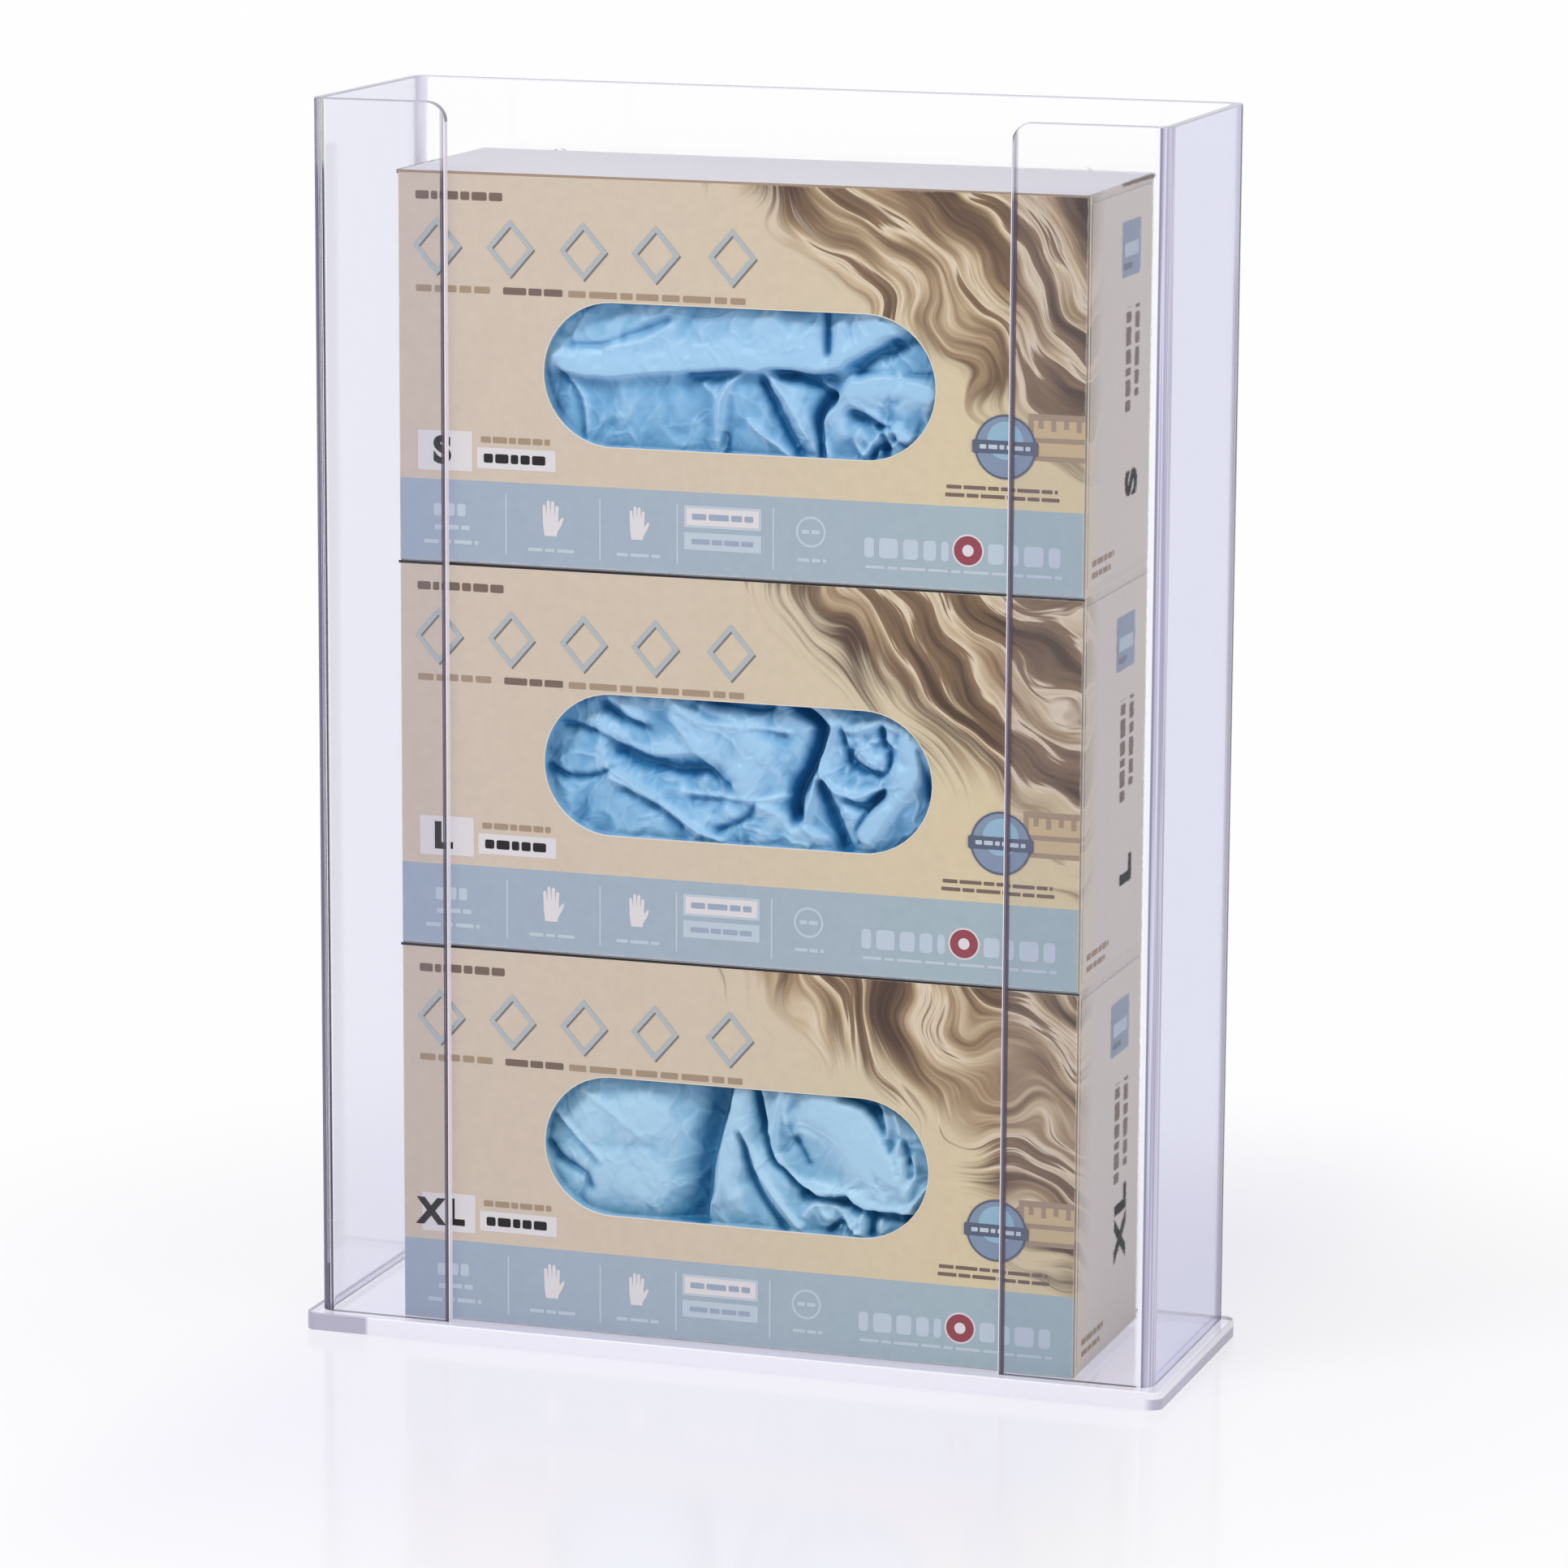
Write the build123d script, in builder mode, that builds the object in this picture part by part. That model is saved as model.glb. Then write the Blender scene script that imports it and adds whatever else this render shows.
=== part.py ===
"""Clear holder with three stacked cartons of disposable gloves.

One clear sheet is bent into an open-topped channel and cemented to a thicker base plate.
Three glove cartons are loaded from above and stand on one another behind the two front lips.
Each carton has a stadium-shaped opening, and its gloves crumple behind it.

Frame: the origin is the middle of the footprint, the base rests on Z = 0, +Z is up, and the
open front faces -Y. All sizes are millimetres.
"""

from build123d import *
import os
from math import exp, hypot

os.makedirs("parts", exist_ok=True)

# Glove carton of folded board
carton_width = 234.0
carton_height = 128.5
carton_depth = 78.0
board_thickness = 0.6
fold_ease = 0.3  # how much rounder the outside of a fold is than the board is thick
opening_width = 133.0
opening_height = 47.0
end_flap_margin = 3.0  # from the carton's edges to the free edges of the glued end flap

# Pack of interleaved gloves
pack_side_room = 3.8  # on each side of the pack in its carton
pack_headroom = 9.3
pack_corner_radius = 9.0
window_margin = 3.0  # how far the crumples run on behind the board
rest_depth = 3.4  # mean depth of the glove film behind the pack's front
least_depth = 0.4
crest_softness = 0.8

# Bent sheet: back, two sides and two front lips
sheet_thickness = 3.0
bend_inner_radius = 2.0
left_lip = 47.0  # from the outside of the holder's side to the lip's free edge
right_lip = 52.0
lip_corner_radius = 6.5  # rounded upper corner of each lip

# Wall screw holes in the back
screw_hole_diameter = 6.0
screw_hole_spacing = 184.0
screw_hole_drop = 26.0  # from the top of the back to the hole's centre

# Base plate, flush with the back and proud of the other three sides
base_thickness = 6.0
base_overhang = 4.0
base_corner_radius = 4.0
base_edge_ease = 0.5

# Clearances
side_room = 25.0  # between the stack and each side of the holder
back_room = 9.5  # between the stack and the back
lip_clearance = 0.5  # between a lip and the cartons' fronts
headroom = 22.5  # from the top carton to the top of the panels
pack_clearance = 0.3  # between a pack and the front and back boards
stack_shift = 1.3  # how far the stack stands right of the holder's middle

# Folds of the glove film. Each has a name, the line it follows, its reach to the left and to
# the right of that line in mm, and its rise in mm, negative for a hollow. A line's points are
# shares of the opening's half width and half height, from the opening's middle.
extra_large_folds = [
    ("palm", [(-0.72, 0.05), (-0.46, 0.15)], 17.0, 17.0, 2.6),
    ("upper palm crease", [(-0.83, 0.76), (-0.51, 0.18), (-0.28, -0.21)], 2.4, 2.4, 0.7),
    ("lower palm crease", [(-0.96, 0.41), (-0.81, -0.08), (-0.70, -0.34)], 2.6, 2.6, 0.8),
    ("hollow below the palm", [(-0.99, -0.12), (-0.81, -0.60)], 3.0, 3.0, -2.2),
    ("deep valley", [(-0.06, 1.02), (-0.11, 0.26), (-0.17, -0.30), (-0.18, -0.98)], 2.2, 9.0, -4.6),
    ("thumb ridge", [(0.02, 1.03), (-0.02, 0.47), (-0.03, -0.12), (-0.05, -0.68)], 3.4, 3.0, 3.0),
    ("valley right of the thumb", [(0.09, 1.01), (0.15, 0.39), (0.23, -0.14), (0.35, -0.47)], 2.8, 2.2, -3.6),
    ("curved rib", [(0.26, 0.96), (0.20, 0.36), (0.30, -0.05)], 2.2, 2.8, 1.6),
    ("low valley", [(0.05, 0.02), (0.09, -0.45), (0.23, -1.00)], 2.4, 2.4, -2.8),
    ("low rib", [(0.14, -0.48), (0.30, -0.92)], 2.4, 2.4, 1.8),
    ("big lobe", [(0.42, 0.50), (0.62, 0.10), (0.72, -0.20)], 12.0, 9.0, 2.8),
    ("hollow under the lobe", [(0.33, -0.56), (0.55, -0.62), (0.76, -0.73)], 2.6, 3.4, -3.4),
    ("right crumple", [(0.60, 1.00), (0.76, 0.62), (0.82, 0.20), (0.86, -0.33)], 2.4, 2.6, -2.6),
]
large_folds = [
    ("upper left lobe", [(-0.90, 0.61), (-0.67, 0.43), (-0.51, 0.18), (-0.31, 0.16)], 9.0, 2.4, 2.4),
    ("left pocket", [(-0.61, 0.16), (-0.42, -0.06), (-0.25, -0.05), (-0.09, -0.16)], 4.5, 4.0, -4.4),
    ("edge of the middle panel", [(-0.32, 0.59), (-0.20, 0.24), (-0.02, -0.18)], 16.0, 2.2, 3.2),
    ("upper left rib", [(-0.70, 0.95), (-0.57, 0.77), (-0.47, 0.57)], 3.0, 2.0, 2.0),
    ("crease over the middle", [(-0.37, 1.00), (-0.24, 0.73), (0.26, 0.61)], 2.0, 2.0, 1.0),
    ("upper hollow", [(-0.14, 1.00), (0.12, 0.90)], 2.4, 2.4, -2.8),
    ("deep valley", [(0.34, 0.98), (0.39, 0.60), (0.36, 0.20), (0.31, -0.15), (0.29, -0.54)], 2.8, 3.6, -6.0),
    ("long low ridge", [(-0.70, -0.21), (-0.42, -0.47), (-0.11, -0.93)], 3.0, 4.5, 2.2),
    ("short low ridge", [(-0.68, -0.07), (-0.47, -0.36), (-0.31, -0.53)], 2.0, 2.0, 1.4),
    ("left crease", [(-1.00, -0.14), (-0.83, -0.21), (-0.68, -0.09)], 2.4, 2.4, -2.0),
    ("low panel", [(-0.10, -0.62), (0.22, -0.58)], 3.0, 3.4, 2.0),
    (
        "turn of the swirl",
        [(0.48, 0.67), (0.42, 0.27), (0.46, -0.02), (0.58, -0.15), (0.70, 0.03)],
        2.6,
        2.4,
        2.4,
    ),
    ("eye of the swirl", [(0.58, 0.22), (0.66, 0.14)], 3.0, 3.0, -2.4),
    ("pocket under the swirl", [(0.44, -0.30), (0.48, -0.55), (0.54, -0.91)], 4.0, 3.6, -4.6),
    ("finger", [(0.91, 0.20), (0.80, -0.21), (0.70, -0.62)], 6.0, 6.0, 3.4),
    ("upper right crumple", [(0.73, 0.48), (0.76, 0.17)], 2.4, 2.4, -2.6),
    ("small spike", [(0.385, -0.10), (0.355, -0.60)], 2.0, 2.0, 2.4),
]
small_folds = [
    ("upper panel", [(-0.90, 0.10), (-0.43, 0.12), (0.09, 0.26), (0.45, 0.30)], 14.0, 2.0, 2.4),
    ("hollow below the panel", [(-0.60, -0.06), (-0.11, 0.04), (0.17, 0.06), (0.42, -0.02)], 2.4, 3.6, -2.2),
    ("upper left crease", [(-0.95, 0.19), (-0.77, 0.24), (-0.64, 0.43), (-0.43, 0.69)], 2.4, 2.4, -1.6),
    ("lower left ridge", [(-0.94, 0.15), (-0.83, -0.23), (-0.80, -0.87)], 2.6, 2.2, 1.8),
    ("lower left palm", [(-0.55, -0.50), (-0.25, -0.50)], 11.0, 11.0, 1.6),
    ("left rib of the fan", [(-0.03, 0.10), (-0.09, -0.44), (-0.11, -0.99)], 2.4, 2.4, 1.8),
    ("right rib of the fan", [(0.04, 0.16), (0.16, 0.00), (0.26, -0.46), (0.36, -1.02)], 2.4, 2.6, 2.8),
    ("hollow between the ribs", [(0.10, -0.16), (0.19, -0.60), (0.27, -0.99)], 2.2, 2.2, -2.8),
    ("short rib", [(0.06, -0.61), (0.22, -1.00)], 2.0, 2.0, 1.6),
    ("pocket right of the fan", [(0.30, -0.04), (0.44, -0.24), (0.41, -0.90)], 3.0, 3.4, -4.4),
    ("upper right slot", [(0.43, 0.97), (0.43, 0.63), (0.46, 0.37)], 1.9, 1.9, -3.0),
    ("upper right hollow", [(0.60, 0.24), (0.82, 0.60), (0.77, 0.85)], 3.2, 3.2, -2.6),
    ("right lobe", [(0.66, -0.04), (0.88, -0.15)], 6.5, 6.5, 2.8),
    ("hollow under the lobe", [(0.54, -0.36), (0.66, -0.55), (0.60, -0.79)], 2.4, 2.8, -3.2),
    ("corner crumple", [(0.73, -0.66), (0.80, -0.74)], 2.4, 2.4, -2.6),
]

# The cartons' sizes, from the base up
contents = [
    ("extra_large", extra_large_folds),
    ("large", large_folds),
    ("small", small_folds),
]

# The film's surface is made of flat facets, on this grid of cells over its window
film_columns = 52
film_rows = 18

# The holder takes its size from the stack of cartons
holder_width = carton_width + 2 * (side_room + sheet_thickness)
holder_depth = carton_depth + lip_clearance + back_room + 2 * sheet_thickness
panel_height = len(contents) * carton_height + headroom
panel_top = base_thickness + panel_height
footprint_width = holder_width + 2 * base_overhang
footprint_depth = holder_depth + base_overhang
back_y = footprint_depth / 2
front_y = back_y - holder_depth

# The cartons' and packs' faces
fold_radius = board_thickness + fold_ease
carton_front_y = front_y + sheet_thickness + lip_clearance
carton_middle_y = carton_front_y + carton_depth / 2
body_width = carton_width - 2 * board_thickness
inner_width = body_width - 2 * board_thickness
inner_depth = carton_depth - 2 * board_thickness
inner_height = carton_height - 2 * board_thickness
flap_depth = carton_depth - 2 * end_flap_margin
flap_height = carton_height - 2 * end_flap_margin
pack_width = inner_width - 2 * pack_side_room
pack_depth = inner_depth - 2 * pack_clearance
pack_height = inner_height - pack_headroom
pack_front_y = carton_front_y + board_thickness + pack_clearance
film_cut_y = pack_front_y - window_margin
window_width = opening_width + 2 * window_margin
window_height = opening_height + 2 * window_margin


def across_and_side(point, start, end):
    """Distance from a point to a straight run, and whether the point is left of it."""
    run_x = end[0] - start[0]
    run_z = end[1] - start[1]
    to_x = point[0] - start[0]
    to_z = point[1] - start[1]
    along = (to_x * run_x + to_z * run_z) / (run_x**2 + run_z**2)
    along = min(1.0, max(0.0, along))
    distance = hypot(to_x - along * run_x, to_z - along * run_z)
    return distance, run_x * to_z - run_z * to_x > 0


def rise_of(fold, point):
    """How far one fold lifts the film at a point given from the opening's middle, in mm."""
    _, line, left_reach, right_reach, height = fold
    corners = [(u * opening_width / 2, v * opening_height / 2) for u, v in line]
    runs = zip(corners[:-1], corners[1:])
    distance, on_left = min(across_and_side(point, start, end) for start, end in runs)
    reach = left_reach if on_left else right_reach
    return height * exp(-((distance / reach) ** 2))


def film_depth(folds, x, z):
    """Depth of the film behind the pack's front, fading to the least behind the board."""
    raw = rest_depth - least_depth - sum(rise_of(fold, (x, z)) for fold in folds)
    kept = (raw + hypot(raw, crest_softness)) / 2
    straight_half = (opening_width - opening_height) / 2
    outside = hypot(max(abs(x) - straight_half, 0.0), z) - opening_height / 2
    share = min(1.0, max(0.0, 1.0 - outside / window_margin))
    return least_depth + kept * share**2 * (3 - 2 * share)


def film_grid(folds, middle_z):
    """Rows of points on the film, over a window a little larger than the carton's opening."""
    grid = []
    for row in range(film_rows + 1):
        z = window_height * (row / film_rows - 0.5)
        points = []
        for column in range(film_columns + 1):
            x = window_width * (column / film_columns - 0.5)
            y = pack_front_y + film_depth(folds, x, z)
            points.append(Vector(stack_shift + x, y, middle_z + z))
        grid.append(points)
    return grid


def facets(grid):
    """Two triangles for each cell of a grid, split along the cell's shorter diagonal."""
    triangles = []
    for low_row, high_row in zip(grid[:-1], grid[1:]):
        for column in range(len(low_row) - 1):
            a, b = low_row[column : column + 2]
            c, d = high_row[column : column + 2]
            if (a - d).length < (b - c).length:
                corners = ((a, b, d), (a, d, c))
            else:
                corners = ((a, b, c), (b, d, c))
            triangles += [Face(Wire.make_polygon(corner)) for corner in corners]
    return triangles


def in_front(point):
    """The point straight in front of a film point, on the flat front of the cut."""
    return Vector(point.X, film_cut_y, point.Z)


def film_cut(folds, middle_z):
    """The space in front of the film: facets behind, flat walls round it and a flat front."""
    grid = film_grid(folds, middle_z)
    left_side = [row[0] for row in grid]
    right_side = [row[-1] for row in grid]
    faces = facets(grid)
    for side in (grid[0], grid[-1], left_side, right_side):
        faces.append(Face(Wire.make_polygon([*side, in_front(side[-1]), in_front(side[0])])))
    corners = (grid[0][0], grid[0][-1], grid[-1][-1], grid[-1][0])
    faces.append(Face(Wire.make_polygon([in_front(corner) for corner in corners])))
    return Solid(Shell(faces))


# Holder: the sheet's section follows its middle line, and is as tall as the panels
lip_middle_y = front_y + sheet_thickness / 2
back_middle_y = back_y - sheet_thickness / 2
side_middle_x = holder_width / 2 - sheet_thickness / 2

with BuildPart() as body_shell:
    with BuildSketch(Plane.XY.offset(base_thickness)):
        with BuildLine():
            FilletPolyline(
                (left_lip - holder_width / 2, lip_middle_y),
                (-side_middle_x, lip_middle_y),
                (-side_middle_x, back_middle_y),
                (side_middle_x, back_middle_y),
                (side_middle_x, lip_middle_y),
                (holder_width / 2 - right_lip, lip_middle_y),
                radius=bend_inner_radius + sheet_thickness / 2,
            )
        trace(line_width=sheet_thickness)
    extrude(amount=panel_height)
    top_edges = body_shell.edges().filter_by(Axis.Y).group_by(Axis.Z)[-1]
    fillet(top_edges.sort_by(SortBy.LENGTH)[:2], lip_corner_radius)
    with BuildSketch(Plane.XZ.offset(-back_y)):
        with Locations((0, panel_top - screw_hole_drop)):
            with GridLocations(screw_hole_spacing, 0, 2, 1):
                Circle(screw_hole_diameter / 2)
    extrude(amount=sheet_thickness, mode=Mode.SUBTRACT)
body_shell.part.label = "body_shell"
export_step(body_shell.part, "parts/body_shell.step")

with BuildPart() as base_plate:
    with BuildSketch():
        RectangleRounded(footprint_width, footprint_depth, base_corner_radius)
    extrude(amount=base_thickness)
    chamfer(base_plate.faces().sort_by(Axis.Z)[-1].edges(), base_edge_ease)
base_plate.part.label = "base_plate"
export_step(base_plate.part, "parts/base_plate.step")

# Cartons and their gloves
for level, (size, folds) in enumerate(contents):
    floor_z = base_thickness + level * carton_height
    middle_z = floor_z + carton_height / 2
    pack_floor_z = floor_z + board_thickness

    with BuildPart() as carton:
        with BuildSketch(Plane.XY.offset(floor_z)):
            with Locations((stack_shift, carton_middle_y)):
                Rectangle(body_width, carton_depth)
        extrude(amount=carton_height)
        fillet(carton.edges().filter_by(Axis.X), fold_radius)
        with BuildSketch(Plane.XY.offset(pack_floor_z)):
            with Locations((stack_shift, carton_middle_y)):
                Rectangle(inner_width, inner_depth)
        extrude(amount=inner_height, mode=Mode.SUBTRACT)
        with BuildSketch(Plane.XZ.offset(-carton_front_y)):
            with Locations((stack_shift, middle_z)):
                SlotOverall(opening_width, opening_height)
        extrude(amount=-board_thickness, mode=Mode.SUBTRACT)
        with BuildSketch(Plane.YZ.offset(stack_shift - carton_width / 2)):
            with Locations((carton_middle_y, middle_z)):
                Rectangle(flap_depth, flap_height)
        extrude(amount=board_thickness)
        with BuildSketch(Plane.YZ.offset(stack_shift + carton_width / 2)):
            with Locations((carton_middle_y, middle_z)):
                Rectangle(flap_depth, flap_height)
        extrude(amount=-board_thickness)
    carton.part.label = f"carton_{size}"
    export_step(carton.part, f"parts/carton_{size}.step")

    with BuildPart() as gloves:
        with BuildSketch(Plane.XZ.offset(-pack_front_y)):
            with Locations((stack_shift, pack_floor_z + pack_height / 2)):
                RectangleRounded(pack_width, pack_height, pack_corner_radius)
        extrude(amount=-pack_depth)
        add(film_cut(folds, middle_z), mode=Mode.SUBTRACT)
    gloves.part.label = f"gloves_{size}"
    export_step(gloves.part, f"parts/gloves_{size}.step")
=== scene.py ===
import math

import bpy
import mathutils
import numpy as np
from mathutils import Matrix, Vector


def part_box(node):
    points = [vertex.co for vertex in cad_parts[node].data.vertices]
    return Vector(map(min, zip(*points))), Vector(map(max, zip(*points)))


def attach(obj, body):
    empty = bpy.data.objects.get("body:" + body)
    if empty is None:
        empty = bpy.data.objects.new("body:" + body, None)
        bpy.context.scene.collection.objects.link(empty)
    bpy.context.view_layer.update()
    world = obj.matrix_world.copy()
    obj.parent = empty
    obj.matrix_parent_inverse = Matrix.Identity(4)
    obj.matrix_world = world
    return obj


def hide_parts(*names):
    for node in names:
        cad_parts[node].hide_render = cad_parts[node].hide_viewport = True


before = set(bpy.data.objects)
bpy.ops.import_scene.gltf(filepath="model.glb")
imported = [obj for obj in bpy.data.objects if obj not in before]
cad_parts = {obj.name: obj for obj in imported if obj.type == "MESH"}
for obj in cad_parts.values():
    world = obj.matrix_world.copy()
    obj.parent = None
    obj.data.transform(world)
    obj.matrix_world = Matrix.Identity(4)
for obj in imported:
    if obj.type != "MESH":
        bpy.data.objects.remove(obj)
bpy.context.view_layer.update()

MM = 0.001
SIZES = ("small", "large", "extra_large")


# ---------------------------------------------------------------- helpers

def srgb(red, green, blue):
    """A colour given in 0..255 display values, as linear RGBA."""
    def linear(value):
        value /= 255
        return value / 12.92 if value <= 0.04045 else ((value + 0.055) / 1.055) ** 2.4
    return (linear(red), linear(green), linear(blue), 1.0)


class Graph:
    """A node graph. Inputs are given as sockets to link or values to set."""

    def __init__(self, tree, output_kind):
        self.nodes = tree.nodes
        self.links = tree.links
        self.nodes.clear()
        self.output = self.nodes.new(output_kind)

    def put(self, socket, value):
        if isinstance(value, bpy.types.NodeSocket):
            self.links.new(value, socket)
        elif value is not None:
            socket.default_value = value

    def node(self, kind, settings=None, **inputs):
        made = self.nodes.new(kind)
        for key, value in (settings or {}).items():
            setattr(made, key, value)
        for key, value in inputs.items():
            self.put(made.inputs[key.replace("_", " ")], value)
        return made

    def math(self, operation, *values, clamp=False):
        made = self.node("ShaderNodeMath", {"operation": operation, "use_clamp": clamp})
        for socket, value in zip(made.inputs, values):
            self.put(socket, value)
        return made.outputs[0]

    def add(self, a, b):
        return self.math("ADD", a, b)

    def minus(self, a, b):
        return self.math("SUBTRACT", a, b)

    def times(self, a, b, clamp=False):
        return self.math("MULTIPLY", a, b, clamp=clamp)

    def rest(self, share):
        """What a share leaves of one."""
        return self.math("SUBTRACT", 1.0, share)

    def swing(self, noise, width):
        """A noise brought round zero and widened."""
        return self.times(self.minus(noise, 0.5), width)

    def smooth(self, value, low, high):
        """0 below low, 1 above high, smooth between."""
        made = self.node("ShaderNodeMapRange", {"interpolation_type": "SMOOTHSTEP"},
                         Value=value, From_Min=low, From_Max=high)
        return made.outputs["Result"]

    def mix(self, share, a, b, blend="MIX"):
        made = self.node("ShaderNodeMix", {"data_type": "RGBA", "blend_type": blend})
        for index, value in ((0, share), (6, a), (7, b)):
            self.put(made.inputs[index], value)
        return made.outputs[2]

    def blend(self, share, first, second):
        """A surface that is first where share is 0 and second where it is 1."""
        made = self.node("ShaderNodeMixShader", Fac=share)
        self.links.new(first, made.inputs[1])
        self.links.new(second, made.inputs[2])
        return made.outputs[0]

    def ramp(self, value, stops):
        made = self.node("ShaderNodeValToRGB", Fac=value)
        elements = made.color_ramp.elements
        while len(elements) < len(stops):
            elements.new(0.5)
        for element, (place, colour) in zip(elements, stops):
            element.position = place
            element.color = colour
        return made.outputs[0]

    def vector(self, x, y, z):
        return self.node("ShaderNodeCombineXYZ", X=x, Y=y, Z=z).outputs[0]

    def place(self):
        """Object coordinates in mm: the vector, then its three parts."""
        coordinates = self.node("ShaderNodeTexCoord").outputs["Object"]
        scaled = self.node("ShaderNodeVectorMath", {"operation": "SCALE"}, Vector=coordinates, Scale=1 / MM)
        split = self.node("ShaderNodeSeparateXYZ", Vector=scaled.outputs[0])
        return scaled.outputs[0], *split.outputs

    def noise(self, vector, scale, detail=3.0, roughness=0.5, distortion=0.0):
        return self.node("ShaderNodeTexNoise", Vector=vector, Scale=scale, Detail=detail,
                         Roughness=roughness, Distortion=distortion).outputs[0]

    def bump(self, height, strength, distance):
        return self.node("ShaderNodeBump", Height=height, Strength=strength, Distance=distance).outputs[0]

    def seen_directly(self):
        """1 for rays from the camera, off gloss or through glass: they see the plain white background."""
        path = self.node("ShaderNodeLightPath").outputs
        return self.math("MAXIMUM", path["Is Camera Ray"],
                         self.math("MAXIMUM", path["Is Glossy Ray"], path["Is Transmission Ray"]))

    def finish(self, surface):
        self.links.new(surface, self.output.inputs["Surface"])


class Shader(Graph):
    """A new material's node graph."""

    def __init__(self, name):
        self.material = bpy.data.materials.new(name)
        self.material.use_nodes = True
        super().__init__(self.material.node_tree, "ShaderNodeOutputMaterial")

    def finish(self, surface):
        super().finish(surface)
        return self.material


def grey(value):
    return (value, value, value, 1.0)


def make_piece(name, points, faces, materials, indices=None, smooth=False):
    """A mesh piece that rides on the one body."""
    mesh = bpy.data.meshes.new(name)
    mesh.from_pydata(points, [], faces)
    for material in materials:
        mesh.materials.append(material)
    if indices is not None:
        mesh.polygons.foreach_set("material_index", indices)
    mesh.polygons.foreach_set("use_smooth", [smooth] * len(mesh.polygons))
    mesh.update()
    piece = bpy.data.objects.new(name, mesh)
    bpy.context.scene.collection.objects.link(piece)
    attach(piece, "root")
    return piece


# ---------------------------------------------------------------- clear sheet and plate

GLARE = (0.4, 0.4, 0.45, 1.0)  # a low tint, so that the sheet has little glare where it is seen straight on
LAMPLIGHT = (0.93, 0.93, 0.96, 1.0)  # what the sheet lets through of the lamps' light
STACK_TOP = (388.0, 394.0)  # mm: below these heights the painted shade on an edge or a bend is darker, where the board lies behind it


def clear_material(name, tint, grazing_tint, roughness, cut=None, saw_marks=0.35):
    """Clear cast sheet: tinted a little more where it is seen along its face, and lets lamps through.

    A cut edge or a bend also has a fine diffuse skin over the glass, which carries painted light and shade.
    cut gives the skin's colour and how much of it shows, as values or as functions of the graph and the
    place. saw_marks is how much the saw darkened it.
    """
    s = Shader(name)
    facing = s.node("ShaderNodeLayerWeight", Blend=0.5).outputs["Facing"]
    along_face = s.smooth(facing, 0.35, 0.85)
    place, x, y, z = s.place()
    haze = s.noise(place, 0.035, 4.0, 0.6)
    scuffs = s.noise(place, 1.7, 2.0, 0.7)
    glass = s.node("ShaderNodeBsdfPrincipled", IOR=1.49, Normal=s.bump(scuffs, 0.015, 0.0004),
                   Roughness=s.math("MULTIPLY_ADD", haze, roughness, 0.004),
                   Base_Color=s.mix(along_face, (*tint, 1.0), (*grazing_tint, 1.0)),
                   Transmission_Weight=1.0, Specular_Tint=GLARE)
    surface = glass.outputs[0]
    # painted light and shade on cut edges and bends, as a diffuse skin mixed over the glass
    if cut:
        colour, amount = (part(s, x, y, z) if callable(part) else part for part in cut)
        saw = s.noise(place, 2.6, 3.0, 0.6)
        skin = s.node("ShaderNodeBsdfPrincipled", Roughness=0.35, Normal=s.bump(saw, 0.2, 0.0001),
                      Base_Color=s.mix(s.times(saw, saw_marks), colour, grey(0.0)))
        surface = s.blend(amount, surface, skin.outputs[0])
    path = s.node("ShaderNodeLightPath").outputs
    passes = s.math("MAXIMUM", path["Is Shadow Ray"], path["Is Diffuse Ray"])
    open_way = s.node("ShaderNodeBsdfTransparent", Color=LAMPLIGHT)
    return s.finish(s.blend(passes, surface, open_way.outputs[0]))


def plate_cut_painted_light(s, x, y, z):
    """Painted light on the plate's cut edge: bright where light gathers in it; painted grey, for dark
    surroundings seen in it, at its left corner and low on its right end.
    """
    left = s.rest(s.smooth(x, -127.5, -125.5))
    right = s.times(s.smooth(x, 143.0, 147.0), s.rest(s.smooth(z, 3.2, 3.9)))
    return s.mix(s.math("MAXIMUM", left, right), srgb(250, 248, 254), srgb(190, 186, 202))


def shaded_below(s, z, above, below):
    """A share that changes at the height of the stack's top."""
    return s.add(below, s.times(s.smooth(z, *STACK_TOP), above - below))


# painted shade: how much of the dark skin shows on the sheet's cut faces and near the lips' free edges
def edge_shade_share(s, x, y, z):
    return shaded_below(s, z, 0.25, 0.8)


def right_and_back(s, x, y):
    """Two shares: how far to the right a bend is, and how far to the back."""
    return s.smooth(x, -140.0, 140.0), s.smooth(y, -30.0, 30.0)


def bend_paint_share(s, x, y, z):
    """How much of the painted light and shade shows in the bends. The front left one has it in streaks, far
    out.
    """
    right, back = right_and_back(s, x, y)
    streaks = s.noise(s.vector(x, y, s.times(z, 0.01)), 0.9, 2.0, 0.6)
    outermost = s.smooth(s.math("ABSOLUTE", x), 141.6, 143.2)
    front_left = s.times(s.times(outermost, streaks), shaded_below(s, z, 1.2, 2.2), clamp=True)
    elsewhere = s.add(0.6, s.times(right, 0.33))
    pale = s.math("MAXIMUM", right, back)
    return s.add(s.times(front_left, s.rest(pale)), s.times(elsewhere, pale))


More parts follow.
